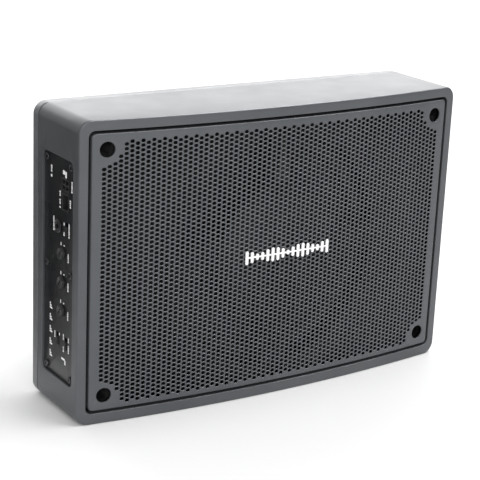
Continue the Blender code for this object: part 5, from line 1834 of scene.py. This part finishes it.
def stage_sheet(name: str, corners: Sequence, values: dict[str, object]) -> bpy.types.Object:
    """A flat four-cornered sheet that belongs to the studio.

    Args:
        name: the sheet's name, and its material's.
        corners: its four corners.
        values: the material's own sockets and their constants.

    Returns:
        The sheet.
    """
    mesh = bpy.data.meshes.new(name)
    mesh.from_pydata([tuple(c) for c in corners], [], [(0, 1, 2, 3)])
    material = bpy.data.materials.new(name)
    material.use_nodes = True
    shader = material.node_tree.nodes["Principled BSDF"]
    for label, value in values.items():
        shader.inputs[label].default_value = value
    mesh.materials.append(material)
    sheet = put_in(name, mesh)
    return sheet


@dataclass(frozen=True)
class Softbox:
    """A soft light: where it is, what it faces, its size and its strength."""

    name: str
    place: tuple[float, float, float]
    target: tuple[float, float, float]
    wide: float
    tall: float
    power: float

    def light(self) -> None:
        """Put the light in the scene, out of the camera's own sight."""
        data = bpy.data.lights.new(self.name, "AREA")
        data.shape = "RECTANGLE"
        data.size, data.size_y = self.wide, self.tall
        data.energy = self.power
        obj = put_in(self.name, data)
        obj.location = self.place
        towards = Vector(self.target) - Vector(self.place)
        obj.rotation_euler = towards.to_track_quat("-Z", "Y").to_euler()
        obj.visible_camera = False


@dataclass(frozen=True)
class Card:
    """A flat card that only shows in reflections: it neither lights nor shades the floor."""

    name: str
    corner: tuple[float, float, float]
    first: tuple[float, float, float]
    second: tuple[float, float, float]
    glow: float

    def put_up(self) -> None:
        """Put the card in the scene, seen by glossy rays alone."""
        corner, first, second = (Vector(v) for v in (self.corner, self.first, self.second))
        card = stage_sheet(
            self.name, (corner, corner + first, corner + first + second, corner + second),
            {"Base Color": (0.0, 0.0, 0.0, 1), "Specular IOR Level": 0.0,
             "Emission Color": (1, 1, 1, 1), "Emission Strength": self.glow},
        )
        for ray in ("camera", "diffuse", "shadow", "transmission", "volume_scatter"):
            setattr(card, f"visible_{ray}", False)


@dataclass
class Studio:
    """The pale floor, the soft lights, the cards and the camera."""

    target: tuple[float, float, float] = (-0.0321, -0.0317, 0.1267)
    azimuth: float = -33.41
    elevation: float = 17.25
    roll: float = 2.55
    distance: float = 1.1413
    lens: float = 112.45
    film: float = 36.0
    floor_half: float = 12.0
    world: float = 0.55
    softboxes: tuple[Softbox, ...] = (
        Softbox("sweep_light", (0.9, 2.2, 1.1), (0.0, 0.0, 0.15), 3.6, 1.6, 47.0),
        Softbox("top_light", (0.5, -0.3, 2.0), (0.0, 0.0, 0.1), 1.2, 0.8, 22.0),
        Softbox("front_light", (-0.8, -2.2, 1.0), (0.0, 0.0, 0.1), 1.4, 1.0, 22.0),
    )
    cards: tuple[Card, ...] = (
        Card("low_dark_card", (-0.42, -0.6, 0.004), (-2.6, 0.0, 0.0), (0.0, 3.6, 0.0), 0.02),
        Card("rear_dark_card", (-0.20, 0.05, 0.004), (-0.42, 0.64, 0.0), (0.0, 0.50, 0.0), 0.01),
        Card("edge_strip", (0.5, -0.8, 1.9), (1.4, 0.0, 0.0), (0.0, 1.7, 0.0), 12.0),
    )

    def make_floor(self) -> None:
        """A plain pale floor."""
        h = self.floor_half
        stage_sheet(
            "studio_floor", ((-h, -h, 0), (h, -h, 0), (h, h, 0), (-h, h, 0)),
            {"Base Color": (0.93, 0.93, 0.93, 1), "Roughness": 0.9, "Specular IOR Level": 0.1},
        )

    def make_camera(self) -> None:
        """The camera on a sphere about the target, rolled about its own line of sight."""
        azimuth, elevation, a = map(math.radians, (self.azimuth, self.elevation, self.roll))
        level = math.cos(elevation)
        back = Vector((math.sin(azimuth) * level, -math.cos(azimuth) * level, math.sin(elevation)))
        right = (-back).cross(Vector((0, 0, 1))).normalized()
        up = right.cross(-back)
        axes = (right * math.cos(a) + up * math.sin(a), up * math.cos(a) - right * math.sin(a), back)
        data = bpy.data.cameras.new("camera")
        data.lens, data.sensor_width = self.lens, self.film
        camera = put_in("camera", data)
        place = Vector(self.target) + back * self.distance
        camera.matrix_world = Matrix.Translation(place) @ Matrix(axes).transposed().to_4x4()
        bpy.context.scene.camera = camera

    def build(self) -> None:
        """Set the floor, the lights, the sky and the camera."""
        self.make_floor()
        self.make_camera()
        for softbox in self.softboxes:
            softbox.light()
        for card in self.cards:
            card.put_up()
        world = bpy.data.worlds.new("studio")
        world.use_nodes = True
        sky = world.node_tree.nodes["Background"].inputs
        sky["Color"].default_value, sky["Strength"].default_value = (1, 1, 1, 1), self.world
        bpy.context.scene.world = world
        bpy.context.scene.view_settings.view_transform = "Standard"


def main() -> None:
    """Build every sub-assembly in order, then the studio."""
    low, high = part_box("front_housing")
    form = Form(low, high)
    for part in (Cabinet(form), Grille(form), ControlPanel(), Driver(), Amplifier(), Studio()):
        part.build()
        LOG.info("built %s", type(part).__name__)


if __name__ == "__main__":
    main()
